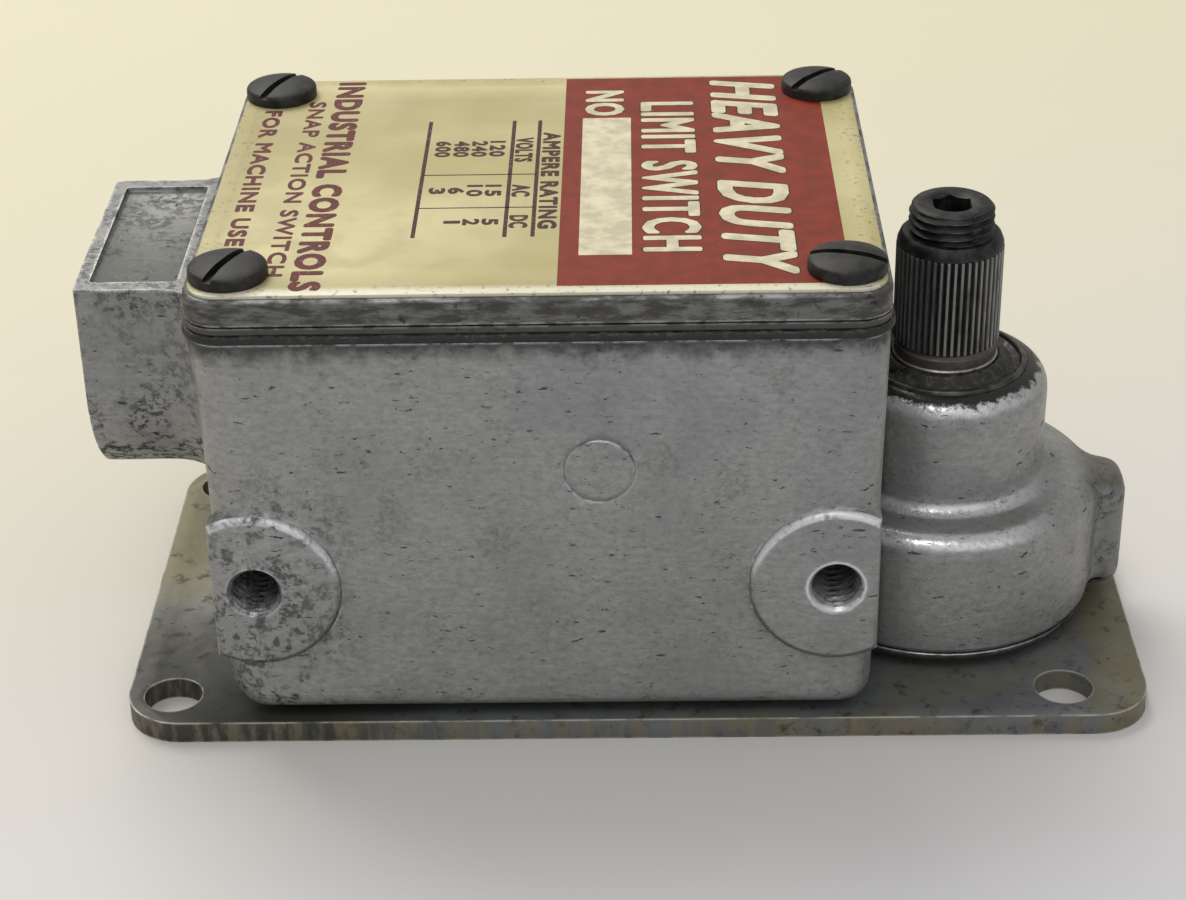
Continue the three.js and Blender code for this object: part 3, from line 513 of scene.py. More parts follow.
in_edit_mode(box, draw_in_foot)
rounded(box, at_foot, BOX_FOOT_ROUND, 6)
hub_end = casting_low.x
hub_inside = cover_low.x + 6 * MM
hub_round = rod((HUB_Y, hub_z), HUB_R, hub_end, hub_inside, axis="X", sides=96)
hub_top = block((hub_end, HUB_Y - HUB_R, hub_z), (hub_inside, HUB_Y + HUB_R, rim_z + RIM_SPARE))
CHAMBER_EDGE, WAIST, BARREL_EDGE = 3 * MM, 2.4 * MM, 4.2 * MM
barrel = turned(
    [(0, CHAMBER_BOTTOM), (CHAMBER_R - 0.6 * MM, CHAMBER_BOTTOM),
     (CHAMBER_R - 0.2 * MM, CHAMBER_BOTTOM + 1.6 * MM)]
    + arc((CHAMBER_R - CHAMBER_EDGE, CHAMBER_TOP - CHAMBER_EDGE), CHAMBER_EDGE, 0, 90)
    + arc((BARREL_R + WAIST, CHAMBER_TOP + WAIST), WAIST, 270, 180)
    + arc((BARREL_R - BARREL_EDGE, BARREL_TOP - BARREL_EDGE), BARREL_EDGE, 0, 90, 8)
    + [(0, BARREL_TOP)], shaft_xy)
EAR = {"end": casting_high.x, "front": -7.0 * MM, "back": 3.0 * MM, "top": 25.0 * MM}
ear = soften(block((shaft_xy.x, EAR["front"], CHAMBER_BOTTOM), (EAR["end"], EAR["back"], EAR["top"])),
             2.6 * MM, segments=4)
WEB = [(shaft_xy.x, 20 * MM), (69 * MM, 20 * MM), (70 * MM, 24.5 * MM), (63 * MM, 29 * MM),
       (61 * MM, 35 * MM), (shaft_xy.x, 36 * MM)]
web = prism([(x, EAR["back"], z) for x, z in WEB], (0, EAR["front"] - EAR["back"] + 2 * MM, 0))
FLARE = 6.5 * MM
flare_x = cover_low.x + 0.6 * MM
flare = laid_down(turned(
    [(0, flare_x - FLARE)] + arc((HUB_R + FLARE, flare_x - FLARE), FLARE, 180, 90)
    + [(HUB_R + FLARE, flare_x + 1 * MM), (0, flare_x + 1 * MM)], (-hub_z, HUB_Y)), ALONG_X)
boolean(flare, "DIFFERENCE", block((hub_end, -50 * MM, hub_z),
                                   (cover_low.x + 9 * MM, 50 * MM, rim_z + 20 * MM)))
flanks = []
for side in (-1, 1):
    face = HUB_Y + side * HUB_R
    bend = [(x, y, hub_z) for x, y in arc((flare_x - FLARE, face + side * FLARE), FLARE, -side * 90, 0)]
    flanks.append(prism(
        [(flare_x - FLARE, face - side * 2 * MM, hub_z)] + bend
        + [(flare_x + 1 * MM, face + side * FLARE, hub_z), (flare_x + 1 * MM, face - side * 2 * MM, hub_z)],
        (0, 0, rim_z + RIM_SPARE - hub_z)))
casting = joined(box, hub_round, hub_top, barrel, ear, web, flare, *flanks)
apply_modifier(casting, "REMESH", mode="VOXEL", voxel_size=0.55 * MM, adaptivity=0)


def smoothed(obj, name, repeats, share):
    """Relaxes the surface where share(place) is above zero, which rolls the metal into the corners."""
    group = obj.vertex_groups.new(name=name)
    for vertex in obj.data.vertices:
        weight = share(vertex.co)
        if weight > 0:
            group.add([vertex.index], min(weight, 1.0), "REPLACE")
    return apply_modifier(obj, "SMOOTH", factor=0.5, iterations=repeats, vertex_group=name)


def near_hub_root(place):
    """Share of smoothing where the hub meets the box."""
    below_rim = (rim_z - 2.5 * MM - place.z) / (5 * MM)
    return min(1 - (abs(place.x - cover_low.x + 2.5 * MM) - 5 * MM) / (4 * MM), below_rim)


def near_ear_root(place):
    """Share of smoothing where the ear meets the crank chamber."""
    outside = math.hypot(place.x - shaft_xy.x, place.y - shaft_xy.y) / MM
    low_enough = (39 * MM - place.z) / (4 * MM)
    return min((place.x - 62 * MM) / (3 * MM), 1 - (abs(outside - 23) - 4) / 3, low_enough)


def near_web(place):
    """Share of smoothing on the web between ear and barrel."""
    return min((place.x - 58 * MM) / (3 * MM), (place.z - 22 * MM) / (3 * MM), (41 * MM - place.z) / (4 * MM))


smoothed(casting, "hub_fillet", 200, near_hub_root)
smoothed(casting, "ear_fillet", 50, near_ear_root)
smoothed(casting, "web_fillet", 40, near_web)
smoothed(casting, "cast_skin", 3, lambda place: 1.0)
apply_modifier(casting, "DECIMATE", ratio=0.3)
boolean(casting, "DIFFERENCE", block((hub_end - 1 * MM, cover_low.y - 1 * MM, rim_z),
                                     (cover_high.x + 1 * MM, cover_high.y + 1 * MM, rim_z + 9 * MM)))

pad_xs = [cover_low.x + PAD_IN, cover_high.x - PAD_IN]
for pad_x, side in zip(pad_xs, (-1, 1)):
    pad = rod((pad_x, PAD_Z), PAD_R, casting_low.y, cover_low.y + 3 * MM, axis="Y", sides=96)
    flush = (cover_low.x if side < 0 else cover_high.x) - side * 0.66 * MM
    boolean(pad, "DIFFERENCE", block(
        (flush if side > 0 else flush - 9 * MM, casting_low.y - MM, 0),
        (flush + 9 * MM if side > 0 else flush, cover_low.y + 9 * MM, 50 * MM)))
    rounded(pad, lambda a, b: max(a.y, b.y) < casting_low.y + HAIR, PAD_EDGE, 5)
    boolean(casting, "UNION", clean(pad))

inside = block((cover_low.x + 2.2 * MM, cover_low.y + 2.4 * MM, 6 * MM),
               (cover_high.x - 2.2 * MM, cover_high.y - 2 * MM, 70 * MM))
boolean(inside, "UNION", rod(shaft_xy, 22 * MM, 6.2 * MM, 24.4 * MM, sides=96),
        rod(shaft_xy, 14 * MM, 20 * MM, 50 * MM, sides=96))
cad_casting = linked("cad_casting", frame["nodes"]["housing"].data.copy())
boolean(inside, "DIFFERENCE", clean(cad_casting))
boolean(casting, "DIFFERENCE", inside)

CONDUIT_THREAD = (12.2 * MM, 13.1 * MM, 1.81 * MM)      # root, crest and pitch, as in the threads below
PAD_THREAD = (3.3 * MM, 3.95 * MM, 1.41 * MM)
bore = laid_down(threaded((-hub_z, HUB_Y), *CONDUIT_THREAD, hub_end - 2 * MM, hub_end + 20 * MM, sides=64),
                 ALONG_X)
mouth = laid_down(turned([
    (0, hub_end - 1 * MM), (14.4 * MM, hub_end - 1 * MM), (CONDUIT_THREAD[0], hub_end + 1.2 * MM),
    (0, hub_end + 1.2 * MM)], (-hub_z, HUB_Y)), ALONG_X)
PANEL_IN = 2.6 * MM
panel = soften(block((hub_end + 2 * MM, HUB_Y - HUB_R + PANEL_IN, rim_z - 0.8 * MM),
                     (cover_low.x - 3.6 * MM, HUB_Y + HUB_R - PANEL_IN, rim_z + 4 * MM)), 0.5 * MM)
boolean(casting, "DIFFERENCE", bore, mouth, panel)
pad_face = -casting_low.y
for pad_x in pad_xs:
    tapped = laid_down(threaded(
        (pad_x, PAD_Z), *PAD_THREAD, pad_face - 14 * MM, pad_face + 1.5 * MM, sides=40), ALONG_Y)
    lead = laid_down(turned([
        (0, pad_face - 0.9 * MM), (PAD_THREAD[0], pad_face - 0.9 * MM), (4.4 * MM, pad_face + 0.5 * MM),
        (0, pad_face + 0.5 * MM)], (pad_x, PAD_Z)), ALONG_Y)
    boolean(casting, "DIFFERENCE", tapped, lead)

EJECTOR_XZ, EJECTOR_R = (-4.76 * MM, 45.6 * MM), 4.95 * MM
wall_y = cover_low.y + BOX_DRAFT * (rim_z - EJECTOR_XZ[1]) / (rim_z - box_bottom)
ejector = applied(added(
    bpy.ops.mesh.primitive_torus_add, major_radius=EJECTOR_R, minor_radius=0.16 * MM, major_segments=96,
    minor_segments=8, location=(EJECTOR_XZ[0], wall_y, EJECTOR_XZ[1]),
    rotation=(math.pi / 2 + BOX_DRAFT / (rim_z - box_bottom), 0, 0)))
flash = turned([
    (CHAMBER_R - 0.7 * MM, 6.5 * MM), (CHAMBER_R + 2 * MM, 6.7 * MM), (CHAMBER_R + 2 * MM, 7.1 * MM),
    (CHAMBER_R - 0.5 * MM, 7.3 * MM), (CHAMBER_R - 0.7 * MM, 6.5 * MM)], shaft_xy)
boolean(casting, "DIFFERENCE", ejector, flash)
casting.data.validate()      # drops a face that a grazing cut has left twice


def aluminium(name):
    """Bare die-cast aluminium, tumbled: base colour with streaks along the walls. Pits, grime and wear are
    added after.
    """
    metal = Finish(name, Metallic=0.62)
    across = metal.facing("X").maths("ABSOLUTE", metal.facing("X"))
    streaks = metal.mix(metal.step(across, 0.5, 0.8), metal.noise((7.0, 7.0, 0.4), 4.0),
                        metal.noise((7.0, 7.0, 0.5), 4.0))
    grains = metal.noise((1.6, 1.6, 0.8), 5.0, 0.65)
    base = metal.mix(streaks * 0.45 + metal.step(grains, 0.3, 0.72) * 0.55, (0.23, 0.232, 0.225),
                     (0.385, 0.386, 0.376))
    clouds = metal.patches(0.4, 0.66, 14.0, 4.0)
    base = metal.mix(clouds * 0.35, base, (0.2, 0.205, 0.205))
    return metal, streaks, base


metal, streaks, base = aluminium("cast_aluminium")
on_hub = metal.beyond("X", -0.061, -0.064)
on_barrel = metal.beyond("X", 0.034, 0.037)
low_down = metal.step(metal.along("Z") + metal.noise(7.0) * 0.012, 0.062, 0.04)
nicks = metal.patches(0.625, 0.67, (1.7, 1.7, 0.7), 6.0, 0.74, turn=(0, 0.35, 0))
nicks = nicks * metal.patches(0.43, 0.56, 6.0, 3.0)
gouges = metal.patches(0.655, 0.69, (3.2, 3.2, 0.9), 5.0, 0.62, turn=(0, -0.5, 0))
mottled = metal.patches(0.5, 0.68, 0.9, 5.0, 0.7)
smudges = metal.patches(0.48, 0.6, 0.8, 6.0, 0.75) * metal.patches(0.56, 0.66, 8.0, 3.0)
thick = metal.patches(0.48, 0.6, 1.3, 5.0, 0.72) * metal.patches(0.38, 0.54, 6.0)
heavy = thick * on_hub * (low_down + 0.45).darkest(1.0) * (1 - metal.turned_to("Z", 0.5, 0.8) * 0.85)
left_pad = metal.beyond("X", -0.036, -0.05) * metal.beyond("Z", 0.047, 0.036)
foot_wear = metal.step(metal.along("Z") + metal.noise(5.0) * 0.008, 0.0165, 0.0095)
upper_wall = metal.step(metal.along("Z") + metal.noise(8.0, 4.0) * 0.016, 0.068, 0.076)
on_ear = metal.beyond("X", 0.0665, 0.0715)
battered = left_pad * 0.75 + foot_wear * 0.3 + upper_wall * 0.45 + on_ear * 0.6
pits = (nicks + smudges * 0.22 + gouges * 0.9 + heavy * 0.85 + thick * battered).darkest(1.0)
under_cover = metal.step(metal.along("Z") + metal.noise(2.5) * 0.005, 0.065, 0.0685) * metal.step(
    metal.along("X") + metal.noise(2.0) * 0.003, -0.0625, -0.0605)
# Painted shade and grime: the occlusion mask darkens every corner of the casting.
corners = metal.step(metal.crevices(3.0) + metal.noise(1.0) * 0.2, 0.27, 0.6)
from_shaft = metal.vector("DISTANCE", metal.place, (*shaft_xy, BARREL_TOP), "Value")
grease = metal.step(from_shaft + metal.noise(1.6, 5.0, 0.7) * 0.0035, 0.0164, 0.0156)
rubbed = metal.edges(0.9, 0.03, 0.2) * metal.patches(0.38, 0.55, 2.5, 4.0) * metal.beyond("Z", 0.0075, 0.0095)
in_plane = metal.vector("MULTIPLY", metal.place, (1, 0, 1))
left_hole, right_hole = (metal.vector("DISTANCE", in_plane, (x, 0, PAD_Z), "Value") for x in pad_xs)
to_hole = left_hole.darkest(right_hole)
ragged = to_hole + metal.noise(1.2, 5.0, 0.7) * 0.8 * MM
# Painted shade: the insides of the tapped holes are painted near black.
hole_shade = (metal.step(ragged, 4.1 * MM, 3.6 * MM) * metal.beyond("Y", -0.0396, -0.0388)
           * metal.beyond("Y", -0.02, -0.025))
burr = (metal.step(ragged, 5.0 * MM, 4.5 * MM) * metal.step(ragged, 3.9 * MM, 4.3 * MM)
        * metal.beyond("X", 0.0, 0.02) * metal.beyond("Y", -0.0384, -0.039))
pad_rim = (metal.step(to_hole, 11.0 * MM, 11.5 * MM) * metal.step(to_hole, 13.0 * MM, 12.6 * MM)
           * metal.beyond("Y", -0.0384, -0.0388))
# Painted highlight along the upper rounding of the pad rims, and painted shade along their lower rounding.
pad_highlight = pad_rim * metal.turned_to("Z", 0.03, 0.25) * metal.patches(0.3, 0.5, 1.6, 4.0)
pad_shade = pad_rim * metal.turned_to("Z", -0.05, -0.3)
# Painted highlight: speckled light on the upward-curved roundings of the barrel's left side.
rolled = metal.turned_to("Z", 0.3, 0.62) * metal.turned_to("Z", 0.995, 0.95)
left_side = metal.beyond("X", 0.064, 0.054)
barrel_highlight = on_barrel * rolled * left_side * metal.patches(0.26, 0.54, 0.8, 5.0, 0.7)
hub_face = on_hub * metal.turned_to("Z", 0.6, 0.9)
in_panel = hub_face * metal.beyond("Z", rim_z - 0.1 * MM, rim_z - 0.5 * MM)
panel_soot = in_panel * metal.patches(0.42, 0.62, (0.7, 2.2, 0.7), 5.0, 0.7)
shadow = (in_panel * 0.4 + panel_soot * 0.35 + hub_face * 0.15 + mottled * 0.3 + on_hub * 0.12
          + upper_wall * 0.16 + on_ear * 0.5)
shaded = metal.mix(shadow.darkest(0.85), base, (0.115, 0.117, 0.105))
painted = metal.mix(pits * 0.9, shaded, (0.03, 0.031, 0.03))
grimed_and_shaded = metal.mix(corners * 0.92, painted, (0.022, 0.022, 0.019))
oiled = on_ear * metal.step(metal.facing("Z") + metal.noise(3.0) * 0.4, 0.4, 0.9)
# Painted contact shadow: the foot of the crank chamber, next to the plate, is painted dark.
foot_shadow = on_barrel * metal.step(metal.along("Z") + metal.noise(2.2, 4.0) * 0.0016, 0.0078, 0.0066)
tinted = metal.mix(oiled * 0.55, metal.mix(foot_shadow * 0.85, grimed_and_shaded, (0.03, 0.03, 0.027)), (0.1, 0.088, 0.055))
stained = metal.mix((under_cover * 0.8).strongest(grease * 0.95), tinted, (0.02, 0.02, 0.016))
# Rubbed edges and the burr are wear; the barrel and pad-rim lights are painted highlights.
wear_and_highlights = (rubbed * 0.8).strongest(barrel_highlight * 0.6).strongest(burr * 0.8).strongest(pad_highlight * 0.75)
# Painted shade under the pad rims.
with_pad_shade = metal.mix(pad_shade * 0.6, stained, (0.03, 0.03, 0.026))
worn_and_highlit = metal.mix(wear_and_highlights * (1 - grease), with_pad_shade, (0.76, 0.77, 0.78))
housing_finish = metal.wear(
    Base_Color=metal.mix(hole_shade * 0.88, worn_and_highlit, (0.02, 0.022, 0.026)),
    Roughness=streaks * 0.12 + 0.36 + pits * 0.3 + corners * 0.2 - rubbed * 0.12 - barrel_highlight * 0.2,
    Normal=metal.bump(metal.noise(0.6, 4.0) * 0.4 + streaks * 0.15 + metal.noise(2.4, 3.0) * 0.6
                      - pits * 1.2 + grease * 0.8, 0.09))
fit(casting, "casting", "case", ["housing"], housing_finish, angle=30)

# ---------------------------------------------------------------- base screws
# Four countersunk slotted screws, turned from bar and blackened, hold the plate to the casting from
# below.


def recast(node, name, body, material, rounding=0.15, segments=2):
    """Copy of a CAD solid with its doubles merged and its edges broken, which stands for the solid."""
    obj = clean(linked(name, frame["nodes"][node].data.copy()))

    def merge_flats():
        bpy.ops.mesh.dissolve_limited(angle_limit=math.radians(1))
    in_edit_mode(obj, merge_flats)
    soften(obj, rounding * MM, segments)
    return fit(obj, name, body, [node], material)


def worn_metal(name, dark, light, bare, rough=0.35, grain=(3.0, 3.0, 3.0), metallic=0.9, rub=0.8):
    """Metal in two mottled shades, bare at the edges, with grime and painted shade in its corners and fine
    scratches.
    """
    metal = Finish(name, Metallic=metallic)
    mottle = metal.noise(grain, 5.0, 0.6)
    body = metal.mix(metal.step(mottle, 0.35, 0.68), dark, light)
    # Painted shade and dirt: the occlusion mask darkens the corners.
    corner_dirt_and_shade = metal.step(metal.crevices(0.9) + metal.noise(0.6) * 0.2, 0.4, 0.85)
    edge = metal.edges(0.18, 0.03, 0.2) * metal.patches(0.36, 0.56, 1.4, 4.0)
    soiled = metal.mix(corner_dirt_and_shade * 0.75, body, (0.012, 0.011, 0.009))
    scratches = metal.noise((0.25, 2.2, 0.4), 3.0)
    return metal.wear(
        Base_Color=metal.mix(edge * rub, soiled, bare),
        Roughness=mottle * 0.25 + rough - 0.1 - edge * 0.1 + corner_dirt_and_shade * 0.2,
        Normal=metal.bump(scratches * 0.4 + mottle * 0.6, 0.02))


black_screw = worn_metal("black_oxide_screw", (0.012, 0.012, 0.012), (0.04, 0.038, 0.035), (0.2, 0.19, 0.175),
                         rough=0.42, metallic=0.6)
for screw in base_screws:
    recast(screw, screw.replace("base", "foot"), "case", black_screw, 0.12)

# ---------------------------------------------------------------- bushings
# Two sintered bronze bushings, pressed into the casting, carry the shaft. They hold oil, so they look
# wet.
bronze = worn_metal("oiled_bronze", (0.2, 0.115, 0.05), (0.34, 0.21, 0.1), (0.55, 0.4, 0.22), rough=0.3)
recast("lower_bushing", "bushing_below", "case", bronze, 0.3)
recast("upper_bushing", "bushing_above", "case", bronze, 0.3)

# ---------------------------------------------------------------- shaft seal
# A pressed steel ring with a moulded rubber lip, pushed into the top of the barrel. Old grease has
# dried on both, and dust sticks to it.
SEAL_SEAT, SEAL_R, SEAL_WALL = 38.0 * MM, 12.3 * MM, 0.8 * MM
seal_case_high, seal_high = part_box("seal_case")[1].z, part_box("shaft_seal")[1].z
LIP_R = 7.9 * MM
ring_outline = [
    (SEAL_R, SEAL_SEAT), (SEAL_R, seal_case_high - 0.3 * MM),
    (SEAL_R - 0.15 * MM, seal_case_high - 0.08 * MM),
    (SEAL_R - 0.35 * MM, seal_case_high), (SEAL_R - SEAL_WALL + 0.15 * MM, seal_case_high),
    (SEAL_R - SEAL_WALL, seal_case_high - 0.2 * MM), (SEAL_R - SEAL_WALL, SEAL_SEAT), (SEAL_R, SEAL_SEAT)]
seal_ring = turned(ring_outline, shaft_xy)
fit(seal_ring, "seal_ring", "case", ["seal_case"], worn_metal(
    "seal_ring_steel", (0.05, 0.047, 0.04), (0.13, 0.12, 0.105), (0.42, 0.4, 0.36), rough=0.4, rub=0.9))

inner = SEAL_R - SEAL_WALL - 0.1 * MM
lip_outline = [
    (LIP_R, SEAL_SEAT + 1 * MM), (inner, SEAL_SEAT + 1 * MM), (inner, BARREL_TOP - 0.15 * MM),
    (inner - 0.5 * MM, BARREL_TOP + 0.1 * MM), (LIP_R + 2.3 * MM, BARREL_TOP - 0.25 * MM),
    (LIP_R + 1.7 * MM, BARREL_TOP + 0.1 * MM), (LIP_R + 1.3 * MM, BARREL_TOP + 0.8 * MM),
    (LIP_R + 0.9 * MM, seal_high), (LIP_R + 0.3 * MM, seal_high), (LIP_R, seal_high - 0.3 * MM),
    (LIP_R, SEAL_SEAT + 1 * MM)]
lip = turned(lip_outline, shaft_xy)
rubber = Finish("greasy_rubber", Metallic=0.0)
dust = rubber.step(rubber.noise(1.1, 6.0, 0.7) + rubber.facing("Z") * 0.12, 0.56, 0.72)
oily = rubber.patches(0.5, 0.62, 2.4, 3.0)
black_rubber = rubber.wear(
    Base_Color=rubber.mix(dust * 0.8, (0.009, 0.009, 0.008), (0.085, 0.075, 0.055)),
    Roughness=0.62 - oily * 0.3 + dust * 0.25,
    Normal=rubber.bump(rubber.noise(0.35, 4.0) * 0.5 + dust * 0.8, 0.06))
fit(lip, "seal_lip", "case", ["shaft_seal"], black_rubber)

# ---------------------------------------------------------------- operating shaft
# Turned from steel bar: journal, collar, straight serrations that clamp a lever, a shoulder, and a
# threaded end with a hexagon socket. It is blackened, and polished where the lever was and at the collar.
COLLAR_R, JOURNAL_R, CREST_R, ROOT_R = 7.8 * MM, 7.5 * MM, 7.94 * MM, 7.38 * MM
COLLAR_Z, TEETH_Z, TEETH_TOP, SHOULDER_Z = 45.0 * MM, 48.2 * MM, 63.7 * MM, 65.4 * MM
shaft_low, shaft_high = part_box("operating_shaft")
TEETH, TEETH_ROWS = 48, 6


def serrated(centre, root, crest, teeth, low, high, rows):
    """Upright bar with rounded straight teeth, which run out over the first and last row."""
    heights = [low, low + 0.35 * MM] + [low + (high - low) * i / rows for i in range(1, rows)]
    obj = stacked(centre, root, teeth * 6, heights + [high - 0.35 * MM, high])
    for vertex in obj.data.vertices:
        x, y = vertex.co.x - centre[0], vertex.co.y - centre[1]
        phase = abs((math.atan2(y, x) / (2 * math.pi) * teeth) % 1 - 0.5) * 2
        at_end = min(vertex.co.z - low, high - vertex.co.z) < 0.1 * MM
        lift = 0.2 if at_end else min(1.0, phase * 1.45)
        grow = 1 + (crest / root - 1) * lift
        vertex.co.x, vertex.co.y = centre[0] + x * grow, centre[1] + y * grow
    return clean(obj)


spindle = turned([
    (0, shaft_low.z), (2.9 * MM, shaft_low.z), (3.5 * MM, shaft_low.z + 0.6 * MM), (3.5 * MM, 18.6 * MM),
    (5.2 * MM, 18.6 * MM), (5.2 * MM, 22.0 * MM), (7.2 * MM, 22.0 * MM), (JOURNAL_R, 22.4 * MM),
    (JOURNAL_R, COLLAR_Z - 0.3 * MM), (JOURNAL_R + 0.05 * MM, COLLAR_Z), (COLLAR_R, COLLAR_Z + 0.35 * MM),
    (COLLAR_R + 0.08 * MM, COLLAR_Z + 0.8 * MM), (COLLAR_R - 0.15 * MM, COLLAR_Z + 1.0 * MM),
    (COLLAR_R - 0.1 * MM, TEETH_Z - 0.75 * MM), (COLLAR_R - 0.4 * MM, TEETH_Z - 0.5 * MM),
    (ROOT_R - 0.1 * MM, TEETH_Z - 0.1 * MM), (ROOT_R - 0.1 * MM, TEETH_TOP), (CREST_R - 0.12 * MM, TEETH_TOP),
    (CREST_R - 0.1 * MM, TEETH_TOP + 0.35 * MM), (CREST_R - 0.5 * MM, SHOULDER_Z - 0.35 * MM),
    (CREST_R - 0.9 * MM, SHOULDER_Z), (5.4 * MM, SHOULDER_Z), (5.4 * MM, shaft_high.z - 1 * MM),
    (0, shaft_high.z - 1 * MM)], shaft_xy)
teeth = serrated(shaft_xy, ROOT_R, CREST_R, TEETH, TEETH_Z, TEETH_TOP + 0.1 * MM, TEETH_ROWS)
SHAFT_THREAD = (5.6 * MM, 6.35 * MM, 1.27 * MM)
screw_end = threaded(shaft_xy, *SHAFT_THREAD, SHOULDER_Z - 0.6 * MM, shaft_high.z, sides=64, rows=8)
end_form = turned([
    (0, SHOULDER_Z - 1 * MM), (6.5 * MM, SHOULDER_Z - 1 * MM), (6.5 * MM, shaft_high.z - 1.0 * MM),
    (5.75 * MM, shaft_high.z - 0.15 * MM), (5.5 * MM, shaft_high.z), (0, shaft_high.z)], shaft_xy)
boolean(screw_end, "INTERSECT", end_form)
boolean(spindle, "UNION", teeth, screw_end)
SOCKET_R, SOCKET_DEPTH = 3.21 * MM, 7.0 * MM
socket = rod(shaft_xy, SOCKET_R, shaft_high.z - SOCKET_DEPTH, shaft_high.z + MM, sides=6)
dimple = turned([
    (0, shaft_high.z - 0.55 * MM), (2.6 * MM, shaft_high.z - 0.55 * MM), (3.5 * MM, shaft_high.z),
    (4.0 * MM, shaft_high.z + 0.5 * MM), (0, shaft_high.z + 0.5 * MM)], shaft_xy)
boolean(spindle, "DIFFERENCE", socket, dimple)

oxide = Finish("black_oxide_steel", Metallic=0.75)
height = oxide.along("Z")
clouded = oxide.patches(0.38, 0.66, 2.6, 5.0, 0.65)
black = oxide.mix(clouded, (0.014, 0.014, 0.014), (0.05, 0.049, 0.047))
in_teeth = oxide.step(height, TEETH_Z - 0.2 * MM, TEETH_Z + 0.5 * MM) * oxide.step(
    height, TEETH_TOP + 0.1 * MM, TEETH_TOP - 0.3 * MM)
level = oxide.vector("MULTIPLY", oxide.place, (1, 1, 0))
axis_distance = oxide.vector("DISTANCE", level, (*shaft_xy, 0), "Value")
on_crest = oxide.step(axis_distance, 7.72 * MM, 7.9 * MM) * in_teeth
# Painted light: the polish on the tooth crests is drawn brighter on the right half of the shaft than on the
# left.
lit_right_half = oxide.step(oxide.along("X") + oxide.noise(3.0) * 0.003, 0.0445, 0.0475)
lever_rub = oxide.patches(0.3, 0.6, (2.0, 2.0, 6.0), 4.0)
crest_polish_and_light = on_crest * (lit_right_half * 0.7 + 0.3) * (lever_rub * 0.7 + 0.3)
collar = oxide.step(height, TEETH_Z + 0.1 * MM, TEETH_Z - 0.3 * MM)
rusty = oxide.mix(oxide.noise(1.3, 5.0), (0.07, 0.06, 0.05), (0.2, 0.185, 0.165))
lip_ring = oxide.step(height, COLLAR_Z + 1.1 * MM, COLLAR_Z + 0.8 * MM) * oxide.patches(0.3, 0.5, 1.6, 4.0)
chipped = oxide.edges(0.22, 0.03, 0.2) * oxide.patches(0.42, 0.58, 1.5, 4.0) * (1 - in_teeth)
with_collar = oxide.mix(collar * 0.85, black, rusty)
dusty = oxide.mix(in_teeth * 0.35, with_collar, (0.09, 0.088, 0.082))
with_teeth = oxide.mix((crest_polish_and_light * 0.75).strongest(chipped * 0.6), dusty, (0.27, 0.265, 0.25))
shaft_finish = oxide.wear(
    Base_Color=oxide.mix(lip_ring * 0.75, with_teeth, (0.5, 0.48, 0.45)),
    Roughness=0.46 - crest_polish_and_light * 0.16 + clouded * 0.14 - lip_ring * 0.14,
    Normal=oxide.bump(oxide.noise(0.3, 3.0) * 0.4 + clouded * 0.3, 0.03))
fit(spindle, "spindle", "operating_shaft", ["operating_shaft"], shaft_finish, angle=32)

# ---------------------------------------------------------------- return spring
# Wound from round spring wire between the crank and the upper bushing. It brings the shaft back.


def wound(centre, radius, wire, turns, low, high, rings=160, sides=12):
    """Coil spring: a straight wire, then bent round and drawn out to its pitch."""
    obj = stacked((0, 0), wire, sides, [i * MM for i in range(rings + 1)])
    for vertex in obj.data.vertices:
        share = vertex.co.z / (rings * MM)
        angle = 2 * math.pi * turns * share
        reach, rise = radius + vertex.co.x, vertex.co.y
        vertex.co = (centre[0] + reach * math.cos(angle), centre[1] + reach * math.sin(angle),
                     low + wire + (high - low - 2 * wire) * share + rise)
    return clean(obj)


spring_steel = worn_metal("spring_steel_wire", (0.1, 0.1, 0.095), (0.24, 0.235, 0.225), (0.5, 0.49, 0.47),
                          rough=0.3)
spring_low, spring_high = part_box("return_spring")
RETURN_COIL = {"radius": 9.5 * MM, "wire": 0.85 * MM, "turns": 3}
coil = wound(shaft_xy, low=spring_low.z, high=spring_high.z, **RETURN_COIL)
fit(coil, "torsion_coil", "case", ["return_spring"], spring_steel, angle=60)

# ---------------------------------------------------------------- crank and crank pin
# A blanked steel crank pressed on the shaft's lower end. Its riveted pin drives the fork.
bright = worn_metal("bright_steel", (0.22, 0.22, 0.21), (0.4, 0.395, 0.385), (0.66, 0.65, 0.63), 0.3)
recast("crank", "crank_arm", "operating_shaft", bright, 0.25)
recast("crank_pin", "drive_pin", "operating_shaft", bright, 0.2)

# ---------------------------------------------------------------- fork lever, pivot and snap spring
# The fork turns on a pin pressed into the floor. A small coil spring on its post throws the contact
# carrier over, and a clip keeps both on the pin.
recast("pivot_pin", "fulcrum_pin", "case", bright, 0.25)
recast("pin_clip", "retaining_clip", "case", black_screw, 0.12)
recast("fork_lever", "fork", "fork_lever", bright, 0.3)
snap_low, snap_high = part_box("snap_spring")
SNAP_COIL = {"radius": 1.8 * MM, "wire": 0.3 * MM, "turns": 3, "rings": 100, "sides": 10}
snap = laid_down(wound((-(snap_low.z + snap_high.z) / 2, middle("fork_lever").y), low=snap_low.x,
                       high=snap_high.x, **SNAP_COIL), ALONG_X)
fit(snap, "over_centre_coil", "fork_lever", ["snap_spring"], spring_steel, angle=60)

